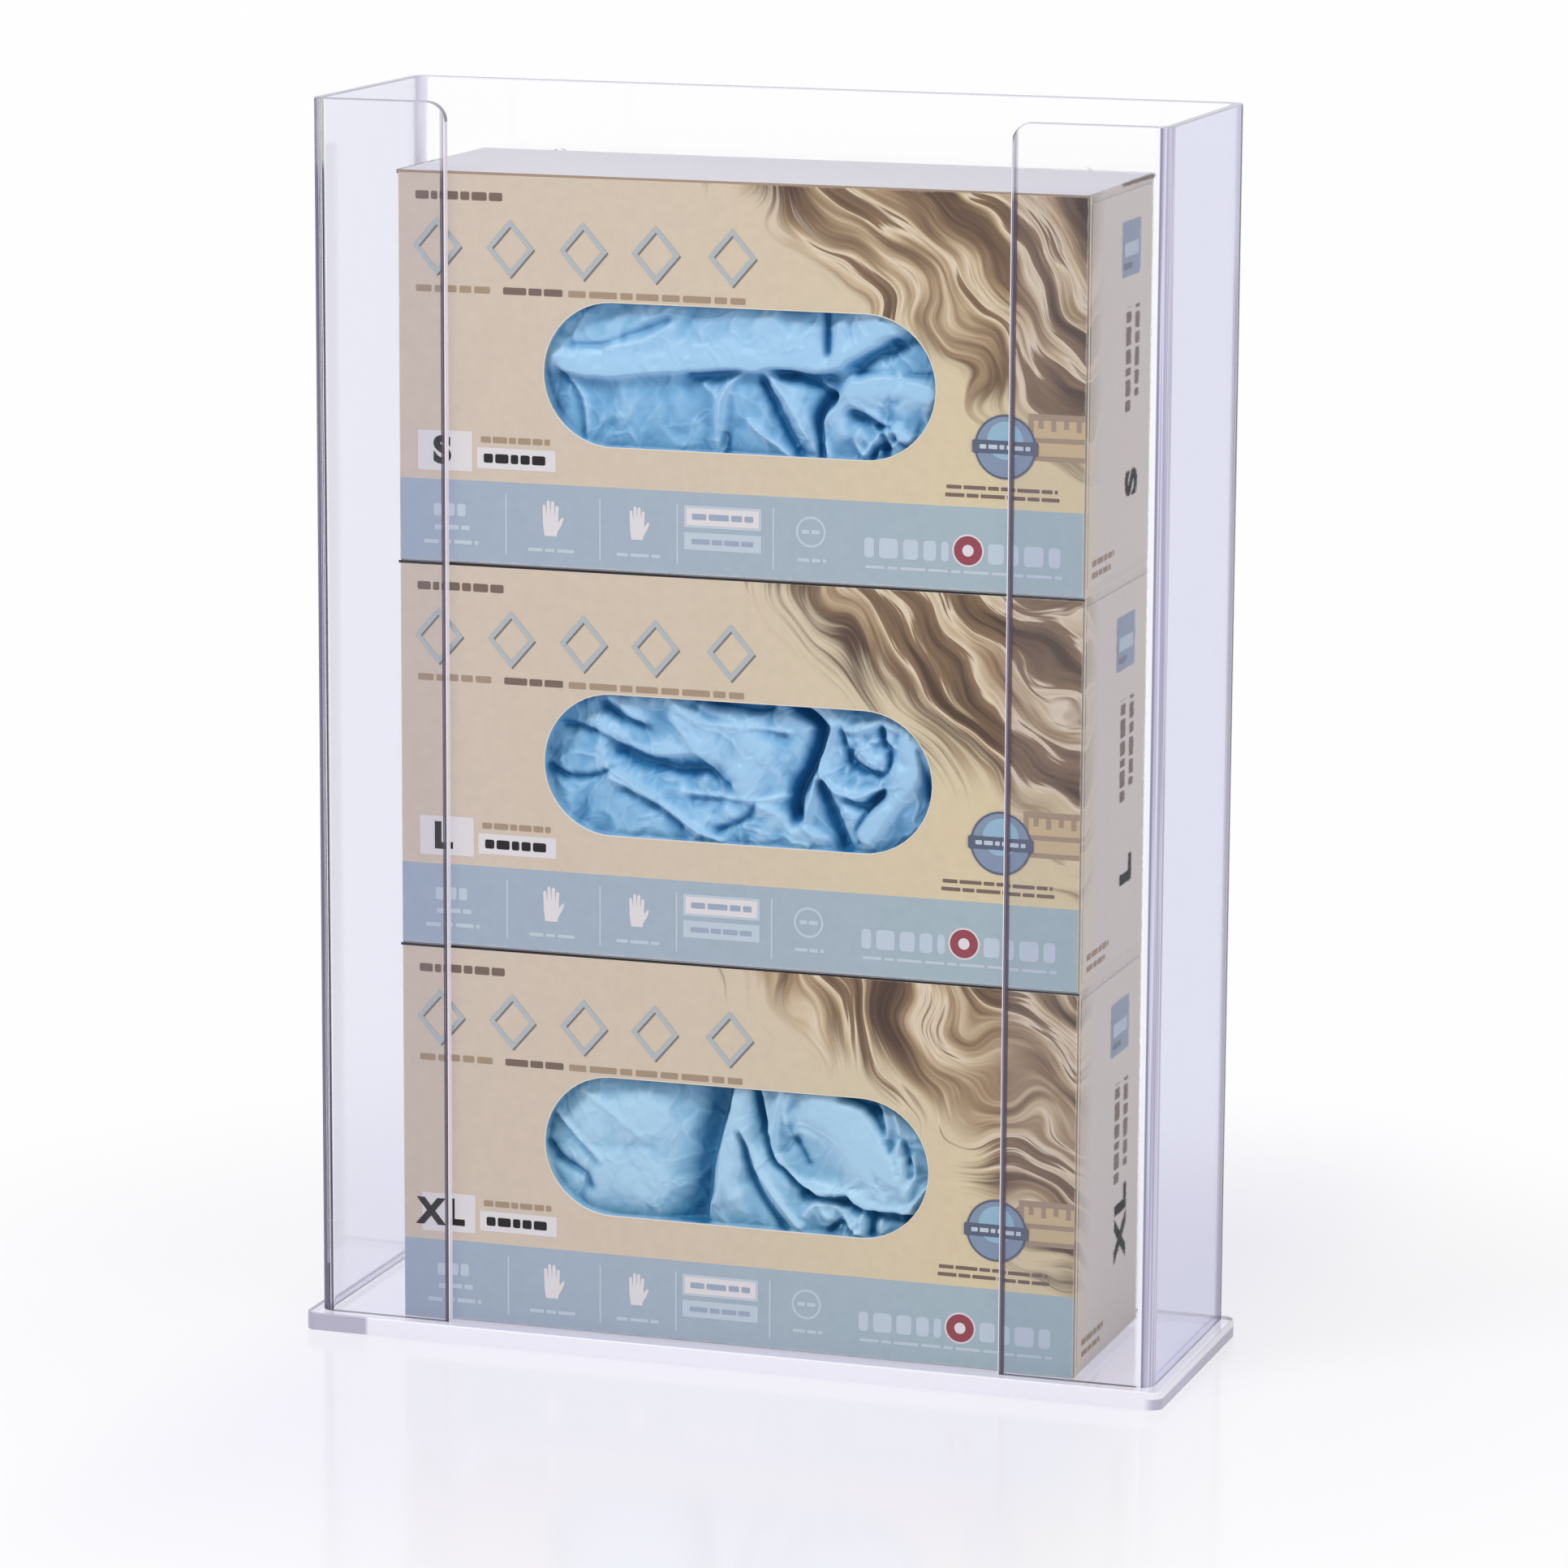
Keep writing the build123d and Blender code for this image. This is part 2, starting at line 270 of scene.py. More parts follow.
def bend_paint_colour(s, x, y, z):
    """Painted shade and light in the bends: dark blue-grey in the front left bend, for the board's shade it
    gathers; pale elsewhere.

    The front right bend is painted white on its inner side, then has a painted dark line and fine grey
    streaks.
    """
    right, back = right_and_back(s, x, y)
    streaks = s.smooth(s.noise(s.vector(x, y, s.times(z, 0.004)), 1.6, 1.0, 0.5), 0.44, 0.60)
    streaked = s.mix(streaks, srgb(226, 224, 240), srgb(184, 180, 204))
    line = s.times(s.smooth(x, 141.1, 141.5), s.rest(s.smooth(x, 141.8, 142.3)))
    outward = s.mix(s.smooth(x, 141.2, 141.8), srgb(252, 252, 255), streaked)
    front_right = s.mix(line, outward, srgb(132, 129, 152))
    front = s.mix(right, srgb(92, 88, 120), front_right)
    return s.mix(back, front, srgb(232, 230, 244))


def rim_colour(s, x, y, z):
    """The rim is pale; on the left lip it is greyer."""
    on_left_lip = s.times(s.math("LESS_THAN", x, 0.0), s.math("LESS_THAN", y, -41.5))
    return s.mix(on_left_lip, srgb(218, 216, 232), srgb(172, 169, 186))


sheet_clear = clear_material("sheet_clear", (0.992, 0.992, 0.998), (0.416, 0.425, 0.70), 0.02)
# painted shade on cut faces and near the lips' free edges: darker glass under a dark skin
sheet_edge_shade = clear_material("sheet_edge_shade", (0.80, 0.79, 0.86), (0.62, 0.60, 0.72), 0.05,
                            (srgb(84, 74, 88), edge_shade_share))
# painted light and shade in the bends
sheet_bend = clear_material("sheet_bend", (0.965, 0.965, 0.985), (0.80, 0.795, 0.91), 0.02,
                            (bend_paint_colour, bend_paint_share), saw_marks=0.1)
sheet_rim = clear_material("sheet_rim", (0.86, 0.85, 0.91), (0.80, 0.79, 0.88), 0.05,
                           (rim_colour, 0.8), saw_marks=0.15)
# painted glint: a near-white skin on the lips' end faces and their eased ends
sheet_end_glint = clear_material("sheet_end_glint", (0.96, 0.96, 0.99), (0.90, 0.89, 0.96), 0.1,
                           (srgb(252, 246, 252), 0.85), saw_marks=0.05)
plate_clear = clear_material("plate_clear", (0.97, 0.97, 0.99), (0.84, 0.825, 0.97), 0.02)
# painted light and shade on the plate's cut edge
plate_edge = clear_material("plate_edge", (0.95, 0.95, 0.98), (0.92, 0.92, 0.97), 0.12,
                            (plate_cut_painted_light, 0.97), saw_marks=0.06)


class Skin:
    """Faces with a normal at each corner, so that flat panels stay flat beside smooth bends."""

    def __init__(self):
        self.points, self.seen, self.faces, self.normals, self.slots = [], {}, [], [], []

    def point(self, place):
        key = tuple(round(c, 7) for c in place)
        if key not in self.seen:
            self.seen[key] = len(self.points)
            self.points.append(place)
        return self.seen[key]

    def face(self, places, normals, slot):
        corners = [self.point(p) for p in places]
        kept = [i for i in range(len(corners)) if corners[i] != corners[i - 1]]
        if len(kept) < 3:
            return
        corners = [corners[i] for i in kept]
        normals = [normals[i] for i in kept]
        area = sum((Vector(self.points[corners[i - 1]]).cross(Vector(self.points[corners[i]]))
                    for i in range(len(corners))), Vector())
        if area.dot(sum((Vector(n) for n in normals), Vector())) < 0:
            corners.reverse()
            normals.reverse()
        self.faces.append(corners)
        self.normals += [tuple(Vector(n).normalized()) for n in normals]
        self.slots.append(slot)

    def finish(self, name, node, slot, materials):
        made = make_piece(name, self.points, self.faces, materials, self.slots, smooth=True)
        made.data.normals_split_custom_set(self.normals)
        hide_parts(node)


SHEET = 3.0 * MM
BEND = 2.0 * MM  # inside radius
BEND_STEPS = 14
LIP_CORNER = 6.5 * MM
LIP_STEPS = 12
LEFT_LIP, RIGHT_LIP = 47.0 * MM, 52.0 * MM
HOLE_RADIUS, HOLE_X, HOLE_DROP = 3.0 * MM, 92.0 * MM, 26.0 * MM
HOLE_SIDES = 32
EASE = 0.4 * MM  # of the sheet's edges; the rounding passes through 0.3 of it both ways
EDGE_SHADE_BAND = 1.3 * MM  # how far in from a lip's free edge its face carries the painted dark band of the edge
AIR_GAP = 0.05 * MM  # between the plate and the cartons on it, so that the plate's top reflects from within
CLEAR, EDGE, BENT, RIM, END = range(5)  # the holder's material slots
UP, DOWN = Vector((0, 0, 1)), Vector((0, 0, -1))


def bent_path(low, high):
    """Stations along the middle of the sheet, from the left lip's free edge to the right one's.

    Each is (x, y, outward normal, half thickness, distance from a free edge, whether it is in a bend).
    """
    half = SHEET / 2
    radius = BEND + half
    x0, x1 = low.x + half, high.x - half
    y0, y1 = low.y + half, high.y - half
    stations = []

    def corner(cx, cy, start):
        for step in range(BEND_STEPS + 1):
            angle = math.radians(start - 90 * step / BEND_STEPS)
            normal = (math.cos(angle), math.sin(angle))
            stations.append([cx + radius * normal[0], cy + radius * normal[1], normal, half, 1.0, True])

    lip = [(0.0, -EASE), (0.3 * EASE, -0.3 * EASE)]
    for step in range(LIP_STEPS + 1):
        lip.append((EASE + (LIP_CORNER - EASE) * (1 - math.cos(math.pi / 2 * step / LIP_STEPS)), 0.0))
    for distance, thinner in lip:
        stations.append([low.x + LEFT_LIP - distance, y0, (0, -1), half + thinner, distance, False])
    corner(x0 + radius, y0 + radius, 270)
    corner(x0 + radius, y1 - radius, 180)
    corner(x1 - radius, y1 - radius, 90)
    corner(x1 - radius, y0 + radius, 0)
    for distance, thinner in reversed(lip):
        stations.append([high.x - RIGHT_LIP + distance, y0, (0, -1), half + thinner, distance, False])
    return stations


def sheet_profile(station, foot, top):
    """Places and normals round the sheet's thickness at one station, from the outer foot over the rim."""
    x, y, normal, half, distance, _ = station
    if distance < LIP_CORNER:
        top -= LIP_CORNER - math.sqrt(max(0.0, LIP_CORNER**2 - (LIP_CORNER - distance) ** 2))
    n = Vector((*normal, 0))
    outward, inward = (n + UP).normalized(), (UP - n).normalized()
    slight = 0.3 * EASE
    across = [(half, foot, n), (half, top - EASE, n), (half - slight, top - slight, outward),
              (half - EASE, top, UP), (EASE - half, top, UP),
              (slight - half, top - slight, inward), (-half, top - EASE, -n), (-half, foot, -n)]
    return [(Vector((x + n.x * out, y + n.y * out, z)), m) for out, z, m in across]


def circle_points(cx, cy, radius, sides):
    angles = [2 * math.pi * i / sides for i in range(sides)]
    return [(cx + radius * math.cos(a), cy + radius * math.sin(a)) for a in angles]


def drilled_face(skin, corners, normal, holes, circles):
    """One flat face of the back with its holes left out."""
    y = corners[0].y
    outline = [(p.x, p.z) for p in corners]
    loops = [list(range(4))]
    for index in range(len(circles)):
        first = 4 + HOLE_SIDES * index
        loops.append(list(range(first, first + HOLE_SIDES))[::-1])
    signed_area = sum(p[0] * q[1] - q[0] * p[1] for p, q in zip(outline[-1:] + outline[:-1], outline))
    if signed_area < 0:
        loops[0].reverse()
    flat = [Vector(p) for p in outline + circles[0] + circles[1]]
    places, _, faces, _, _, _ = mathutils.geometry.delaunay_2d_cdt(flat, [], loops, 2, 1e-9)
    for face in faces:
        middle = sum((places[j] for j in face), Vector((0, 0))) / len(face)
        if all((middle - Vector(hole)).length >= HOLE_RADIUS * 0.98 for hole in holes):
            skin.face([Vector((places[j].x, y, places[j].y)) for j in face], [normal] * len(face), CLEAR)


def drilled_back(skin, a, b, top):
    """The back between its bends: both faces with the holes left out, and the holes' walls."""
    holes = [(sign * HOLE_X, top - HOLE_DROP) for sign in (-1, 1)]
    circles = [circle_points(*hole, HOLE_RADIUS, HOLE_SIDES) for hole in holes]
    for k, normal in ((0, Vector((0, 1, 0))), (6, Vector((0, -1, 0)))):
        drilled_face(skin, [a[k][0], b[k][0], b[k + 1][0], a[k + 1][0]], normal, holes, circles)
    outer_y, inner_y = a[0][0].y, a[7][0].y
    for circle, (hole_x, hole_z) in zip(circles, holes):
        for i in range(HOLE_SIDES):
            p, q = circle[i - 1], circle[i]
            wall = [(*p, outer_y), (*q, outer_y), (*q, inner_y), (*p, inner_y)]
            skin.face([Vector((x, y, z)) for x, z, y in wall],
                      [Vector((hole_x - x, 0, hole_z - z)) for x, z, y in wall], EDGE)


def clear_holder():
    low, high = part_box("body_shell")
    skin = Skin()
    stations = bent_path(low, high)
    profiles = [sheet_profile(station, low.z, high.z) for station in stations]
    for here, there, a, b in zip(stations, stations[1:], profiles, profiles[1:]):
        turning = here[2] != there[2]
        bent = here[5] and there[5] and turning
        at_back = not turning and here[2][1] > 0.999
        from_end = min(here[4], there[4])
        if from_end < EASE * 0.99:
            face_slot = END
        elif from_end < EDGE_SHADE_BAND:
            face_slot = EDGE
        else:
            face_slot = BENT if bent else CLEAR
        for k in range(7):
            on_face = k in (0, 6)
            if not (on_face and at_back):
                skin.face([a[k][0], b[k][0], b[k + 1][0], a[k + 1][0]],
                          [a[k][1], b[k][1], b[k + 1][1], a[k + 1][1]], face_slot if on_face else RIM)
        skin.face([a[0][0], b[0][0], b[7][0], a[7][0]], [DOWN] * 4, EDGE)
        if at_back:
            drilled_back(skin, a, b, high.z)
    for end, sign in ((profiles[0], 1), (profiles[-1], -1)):
        skin.face([p for p, _ in end], [Vector((sign, 0, 0))] * 8, END)
    skin.finish("clear_holder", "body_shell", "clear_sheet",
                [sheet_clear, sheet_edge_shade, sheet_bend, sheet_rim, sheet_end_glint])


PLATE_CORNER, PLATE_EASE = 4.0 * MM, 0.5 * MM
PLATE_CORNER_STEPS = 12


def rounded_outline(low, high, radius):
    """Places and outward normals round a box's plan with rounded corners."""
    outline = []
    for cx, cy, start in ((high.x - radius, high.y - radius, 0), (low.x + radius, high.y - radius, 90),
                          (low.x + radius, low.y + radius, 180), (high.x - radius, low.y + radius, 270)):
        for step in range(PLATE_CORNER_STEPS + 1):
            angle = math.radians(start + 90 * step / PLATE_CORNER_STEPS)
            n = Vector((math.cos(angle), math.sin(angle), 0))
            outline.append((Vector((cx, cy, 0)) + n * radius, n))
    return outline


def clear_base():
    low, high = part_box("base_plate")
    high.z -= AIR_GAP
    skin = Skin()
    ring = rounded_outline(low, high, PLATE_CORNER)
    slight = 0.3 * PLATE_EASE
    # each level's height, how far in it lies, and how far its normal turns up
    levels = [(low.z, 0.0, 0.0), (high.z - PLATE_EASE, 0.0, 0.0),
              (high.z - slight, slight, 0.5), (high.z, PLATE_EASE, 1.0)]
    for (p, n), (q, m) in zip(ring[-1:] + ring[:-1], ring):
        for (z0, in0, turn0), (z1, in1, turn1) in zip(levels, levels[1:]):
            skin.face([p - n * in0 + UP * z0, q - m * in0 + UP * z0,
                       q - m * in1 + UP * z1, p - n * in1 + UP * z1],
                      [n.lerp(UP, turn0), m.lerp(UP, turn0), m.lerp(UP, turn1), n.lerp(UP, turn1)], 1)
    skin.face([p - n * PLATE_EASE + UP * high.z for p, n in ring], [UP] * len(ring), 0)
    skin.face([p + UP * low.z for p, _ in ring], [DOWN] * len(ring), 0)
    skin.finish("clear_base", "base_plate", "clear_plate", [plate_clear, plate_edge])


clear_holder()
clear_base()


# ---------------------------------------------------------------- cartons

CARTON_LOW, CARTON_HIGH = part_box("carton_small")
CARTON_LEFT, CARTON_FRONT = CARTON_LOW.x, CARTON_LOW.y
CARTON_RIGHT, CARTON_BACK = CARTON_HIGH.x, CARTON_HIGH.y
CARTON_HEIGHT = CARTON_HIGH.z - CARTON_LOW.z
FRONT_WIDTH = 234.0  # mm, as are all measures of the print
OPENING_WIDTH, OPENING_HEIGHT, OPENING_MIDDLE = 133.0, 47.0, 64.25  # its middle's height above the foot
BAND_TOP = 27.5  # of the blue-grey band at the foot
SWEEP_MIDDLE = (286.0, 190.0)  # of the satin's arcs, from the front's lower left

BEIGE = [(0.0, srgb(206, 191, 175)), (0.45, srgb(209, 193, 171)),
         (0.8, srgb(213, 197, 164)), (1.0, srgb(215, 199, 158))]
SATIN = [(0.0, srgb(62, 46, 38)), (0.22, srgb(86, 66, 54)), (0.40, srgb(120, 97, 76)),
         (0.52, srgb(160, 136, 106)), (0.62, srgb(200, 179, 148)), (0.70, srgb(222, 206, 180)),
         (0.75, srgb(136, 111, 86)), (1.0, srgb(80, 62, 50))]
BAND = [(0.0, srgb(160, 174, 190)), (0.6, srgb(163, 178, 188)), (1.0, srgb(162, 182, 186))]


def satin_print(s, place, across, up, floor_z):
    """Satin swept in long arcs: how much of it shows towards the upper right, and its colour."""
    middle = FRONT_WIDTH / 2
    off_u, off_v = s.minus(across, SWEEP_MIDDLE[0]), s.minus(up, SWEEP_MIDDLE[1])
    slow = s.noise(place, 0.016, 2.0, 0.5)
    radius = s.math("SQRT", s.add(s.times(off_u, off_u), s.times(off_v, off_v)))
    pushed = s.add(radius, s.swing(slow, 74.0))
    turn = s.math("ARCTAN2", off_v, off_u)
    broad = s.noise(s.vector(pushed, s.times(turn, 26.0), floor_z / MM), 0.055, 1.0, 0.5, 0.4)
    narrow = s.noise(s.vector(pushed, s.times(turn, 9.0), floor_z / MM), 0.26, 3.0, 0.6)
    sheen = s.add(s.add(s.swing(broad, 2.0), s.swing(narrow, 0.9)), 0.5)
    rightward = s.math("DIVIDE", s.minus(across, middle), middle)
    upward = s.math("DIVIDE", s.minus(up, 36.0), 92.0)
    edge = s.add(s.add(s.add(rightward, upward), s.swing(narrow, 0.8)), s.swing(slow, 0.5))
    return s.smooth(edge, 0.92, 1.16), s.ramp(sheen, SATIN)


def rubbed_folds(s, place, across, up):
    """1 within a millimetre or so of the carton's edges."""
    from_side = s.math("MINIMUM", across, s.minus(FRONT_WIDTH, across))
    from_foot = s.math("MINIMUM", up, s.minus(CARTON_HEIGHT / MM, up))
    wobble = s.times(s.noise(place, 0.4, 3.0, 0.6), 1.2)
    return s.rest(s.smooth(s.minus(s.math("MINIMUM", from_side, from_foot), wobble), -0.3, 0.6))


def board_material(name, floor_z):
    """Printed board: beige, with satin waves at the upper right and a blue-grey band at the foot.

    The ends and the back are plainer and a little greyer, and the front's art runs a little way round them.
    """
    s = Shader(name)
    place, x, y, z = s.place()
    across = s.minus(x, CARTON_LEFT / MM)
    share_across = s.math("DIVIDE", across, FRONT_WIDTH)
    up = s.minus(z, floor_z / MM)
    geometry = s.node("ShaderNodeNewGeometry").outputs
    normal = s.node("ShaderNodeSeparateXYZ", Vector=geometry["True Normal"]).outputs
    on_end = s.math("GREATER_THAN", s.math("ABSOLUTE", normal[0]), 0.5)
    on_back = s.math("GREATER_THAN", normal[1], 0.5)
    on_top = s.math("GREATER_THAN", normal[2], 0.5)

    art, satin = satin_print(s, place, across, up, floor_z)
    printed = s.mix(art, s.ramp(share_across, BEIGE), satin)
    printed = s.mix(s.math("LESS_THAN", up, BAND_TOP), printed, s.ramp(share_across, BAND))
    wrapped = s.rest(s.smooth(y, CARTON_FRONT / MM + 4.0, CARTON_FRONT / MM + 20.0))
    corner = s.mix(s.times(art, 0.5), srgb(212, 196, 166), satin)
    printed = s.mix(on_end, printed, s.mix(wrapped, srgb(206, 194, 184), corner))
    printed = s.mix(on_back, printed, srgb(208, 196, 182))
    left_fold = s.times(s.math("LESS_THAN", across, 1.3), s.smooth(y, 24.0, -10.0))
    printed = s.mix(on_top, printed, s.mix(left_fold, srgb(227, 226, 246), srgb(126, 112, 108)))

    grain = s.noise(place, 2.2, 4.0, 0.6)
    fibres = s.noise(place, 0.28, 3.0, 0.55)
    printed = s.mix(0.10, printed, s.ramp(fibres, [(0.3, grey(0.55)), (0.7, grey(1.0))]), "MULTIPLY")
    printed = s.mix(s.times(rubbed_folds(s, place, across, up), 0.35), printed, srgb(238, 232, 222))
    board = s.node("ShaderNodeBsdfPrincipled", Base_Color=printed, Specular_IOR_Level=0.35,
                   Roughness=s.ramp(grain, [(0.3, grey(0.42)), (0.7, grey(0.6))]),
                   Normal=s.bump(grain, 0.12, 0.00008))
    return s.finish(board.outputs[0])


def ink_material(name, colour, roughness, metallic=0.0):
    """Ink, a little mottled."""
    s = Shader(name)
    place, *_ = s.place()
    mottle = s.noise(place, 1.3, 3.0, 0.6)
    thin = tuple(c * 0.94 for c in colour[:3]) + (1,)
    thick = tuple(min(1, c * 1.06) for c in colour[:3]) + (1,)
    ink = s.node("ShaderNodeBsdfPrincipled", Base_Color=s.mix(mottle, thin, thick), Metallic=metallic,
                 Roughness=s.math("MULTIPLY_ADD", mottle, 0.2, roughness - 0.1),
                 Normal=s.bump(mottle, 0.05, 0.00005))
    return s.finish(ink.outputs[0])


INKS = {name: ink_material(f"ink_{name}", srgb(*colour), *finish) for name, colour, *finish in (
    ("silver", (172, 180, 184), 0.32, 0.35),
    # painted shadow under the silver diamonds
    ("shade", (118, 112, 106), 0.5),
    ("brown", (112, 94, 84), 0.55),
    ("tan", (160, 138, 116), 0.55),
    ("straw", (196, 174, 134), 0.55),
    ("cream", (226, 214, 190), 0.5),
    ("white", (218, 213, 213), 0.45),
    ("black", (14, 11, 16), 0.8),
    ("pale", (186, 198, 208), 0.5),
    ("mist", (150, 164, 182), 0.5),
    ("red", (142, 62, 74), 0.45),
    ("steel", (126, 142, 164), 0.4),
    ("sky", (142, 178, 196), 0.4),
    ("dark_steel", (84, 92, 112), 0.4),
)}
INK_ORDER = list(INKS)
LAYER = 0.06 * MM  # how far each layer of print lies out from the one below
CIRCLE_SIDES = 40
# a plain open hand as one outline: wrist, thumb and four fingers
HAND = [(-2.4, -6.2), (2.2, -6.2), (2.5, -4.6), (4.0, -2.2), (4.9, 0.2), (4.2, 0.8), (2.9, -1.0),
        (2.8, 0.4), (3.0, 4.4), (2.3, 4.9), (1.7, 4.4), (1.5, 1.4), (1.3, 5.9), (0.6, 6.5), (0.0, 5.9),
        (-0.1, 1.5), (-0.4, 6.2), (-1.0, 6.7), (-1.6, 6.1), (-1.6, 1.4), (-2.0, 4.6), (-2.6, 5.1),
        (-3.2, 4.5), (-3.0, -2.4)]


def arc_points(cx, cy, radius, start, turn, steps):
    """Points along an arc that starts at so many degrees and turns so many more."""
    angles = [math.radians(start + turn * step / steps) for step in range(steps + 1)]
    return [(cx + radius * math.cos(a), cy + radius * math.sin(a)) for a in angles]


class Print:
    """Flat printed shapes on one side of a carton, with a few painted shadows among them, collected into one
    piece.

    Places are in mm from that side's lower left, as it is seen from outside.
    """

    def __init__(self, side, size, floor_z):
        self.side, self.size, self.floor_z = side, size, floor_z
        self.points, self.faces, self.inks = [], [], []

    def at(self, u, v, out):
        """A place on the side, so far out from it, in metres."""
        z = self.floor_z + v * MM
        return {
            "front": (CARTON_LEFT + u * MM, CARTON_FRONT - out, z),
            "right": (CARTON_RIGHT + out, CARTON_FRONT + u * MM, z),
            "left": (CARTON_LEFT - out, CARTON_BACK - u * MM, z),
            "back": (CARTON_RIGHT - u * MM, CARTON_BACK + out, z),
        }[self.side]

    def polygon(self, corners, ink, layer=1):
        first = len(self.points)
        self.points += [self.at(u, v, layer * LAYER) for u, v in corners]
        self.faces.append(tuple(range(first, len(self.points))))
        self.inks.append(INK_ORDER.index(ink))

    def strip(self, outer, inner, ink, layer=1):
        """A closed ring between two outlines with as many corners."""
        for i in range(len(outer)):
            j = (i + 1) % len(outer)
            self.polygon([outer[i], outer[j], inner[j], inner[i]], ink, layer)

    def bar(self, left, low, right, high, ink, layer=1, corner=0.0):
        if corner <= 0:
            self.polygon([(left, low), (right, low), (right, high), (left, high)], ink, layer)
            return
        c = min(corner, (right - left) / 2, (high - low) / 2)
        turns = ((right - c, low + c, -90), (right - c, high - c, 0),
                 (left + c, high - c, 90), (left + c, low + c, 180))
        self.polygon([p for cx, cy, start in turns for p in arc_points(cx, cy, c, start, 90, 4)], ink, layer)

    def disc(self, u, v, radius, ink, layer=1):
        self.polygon(circle_points(u, v, radius, CIRCLE_SIDES), ink, layer)

    def ring(self, u, v, radius, width, ink, layer=1):
        outer, inner = (circle_points(u, v, r, CIRCLE_SIDES) for r in (radius, radius - width))
        self.strip(outer, inner, ink, layer)

    def dashes(self, left, right, low, high, widths, gap, ink, layer=1):
        """A row of short bars of uneven length in place of a line of words."""
        u, index = left, 0
        while u < right - 0.4:
            width = widths[index % len(widths)]
            self.bar(u, low, min(u + width, right), high, ink, layer, corner=(high - low) * 0.2)
            u += width + gap
            index += 1

    def diamond(self, u, v, half_width, half_height, stroke, ink, layer=1):
        def outline(inset):
            slope = math.hypot(half_width, half_height)
            dx, dy = inset * slope / half_height, inset * slope / half_width
            return [(u - half_width + dx, v), (u, v - half_height + dy),
                    (u + half_width - dx, v), (u, v + half_height - dy)]
        self.strip(outline(0), outline(stroke), ink, layer)

    def hand(self, u, v, scale, ink, layer=1):
        self.polygon([(u + p * scale, v + q * scale) for p, q in HAND], ink, layer)

    def size_mark(self, right, low, height, turned=False):
        """The carton's size, ending at right, or reading upwards from low where it is turned."""
        points, faces = letter_mesh(MARKS[self.size], height)
        width = max(u for u, v in points)
        for face in faces:
            if turned:
                self.polygon([(right - points[i][1], low + points[i][0]) for i in face], "black", 2)
            else:
                self.polygon([(right - width + points[i][0], low + points[i][1]) for i in face], "black", 2)

    def finish(self):
        name = f"{self.side}_print_{self.size}"
        make_piece(name, self.points, self.faces, list(INKS.values()), self.inks)


MARKS = {"small": "S", "large": "L", "extra_large": "XL"}
CAPITAL = 0.72  # a capital's height as a share of the letter size
BOLDER = 0.07  # how far a letter's outline grows, as a share of its height


def letter_mesh(text, height):
    """A size mark as flat faces: its points in mm from its lower left, and its faces."""
    curve = bpy.data.curves.new("size_mark", "FONT")
    curve.body = text
    curve.size = height / CAPITAL
    curve.offset = height * BOLDER
    curve.space_character = 1.2
    curve.resolution_u = 6
    holder = bpy.data.objects.new("size_mark", curve)
    bpy.context.scene.collection.objects.link(holder)
    mesh = bpy.data.meshes.new_from_object(holder)
    points = [(p.co.x, p.co.y) for p in mesh.vertices]
    faces = [tuple(f.vertices) for f in mesh.polygons]
    bpy.data.objects.remove(holder)
    bpy.data.curves.remove(curve)
    bpy.data.meshes.remove(mesh)
    left, low = min(u for u, v in points), min(v for u, v in points)
    return [(u - left, v - low) for u, v in points], faces


def turned_words(p, left, right, low, high, first):
    """A column of words that reads upwards, as bars of uneven length."""
    v, index = low, first
    while v < high:
        run = (3.6, 5.4, 2.6, 4.6, 6.2)[index % 5]
        p.bar(left, v, right, min(v + run, high), "brown", 1, 0.8)
        v += run + 1.3
        index += 1


def print_end(side, size, floor_z):
    """An end: a small label, two columns of turned words and the size mark, turned."""
    p = Print(side, size, floor_z)
    p.bar(0.3, 0.3, 1.6, 128.2, "cream")
    if size == "small":  # the shadow under the top carton's flap
        p.polygon([(40.0, 127.5), (77.6, 127.0), (77.6, 128.4), (40.0, 128.4)], "brown")
    p.bar(39.0, 98.0, 61.0, 116.0, "steel", 1, 1.2)
    p.bar(41.5, 104.5, 58.5, 109.0, "pale", 2, 0.6)
    p.bar(41.5, 100.4, 51.0, 102.4, "dark_steel", 2, 0.4)
    turned_words(p, 45.0, 51.0, 54.0, 88.0, 0)
    turned_words(p, 56.0, 61.0, 58.0, 88.0, 2)
    p.size_mark(60.5, 26.0, 13.0, turned=True)
    p.dashes(8.0, 34.0, 9.0, 11.0, [5.0, 7.0, 3.6], 1.0, "tan")
    p.dashes(8.0, 30.0, 5.2, 7.0, [7.0, 4.0, 5.6], 1.0, "tan")
    p.finish()


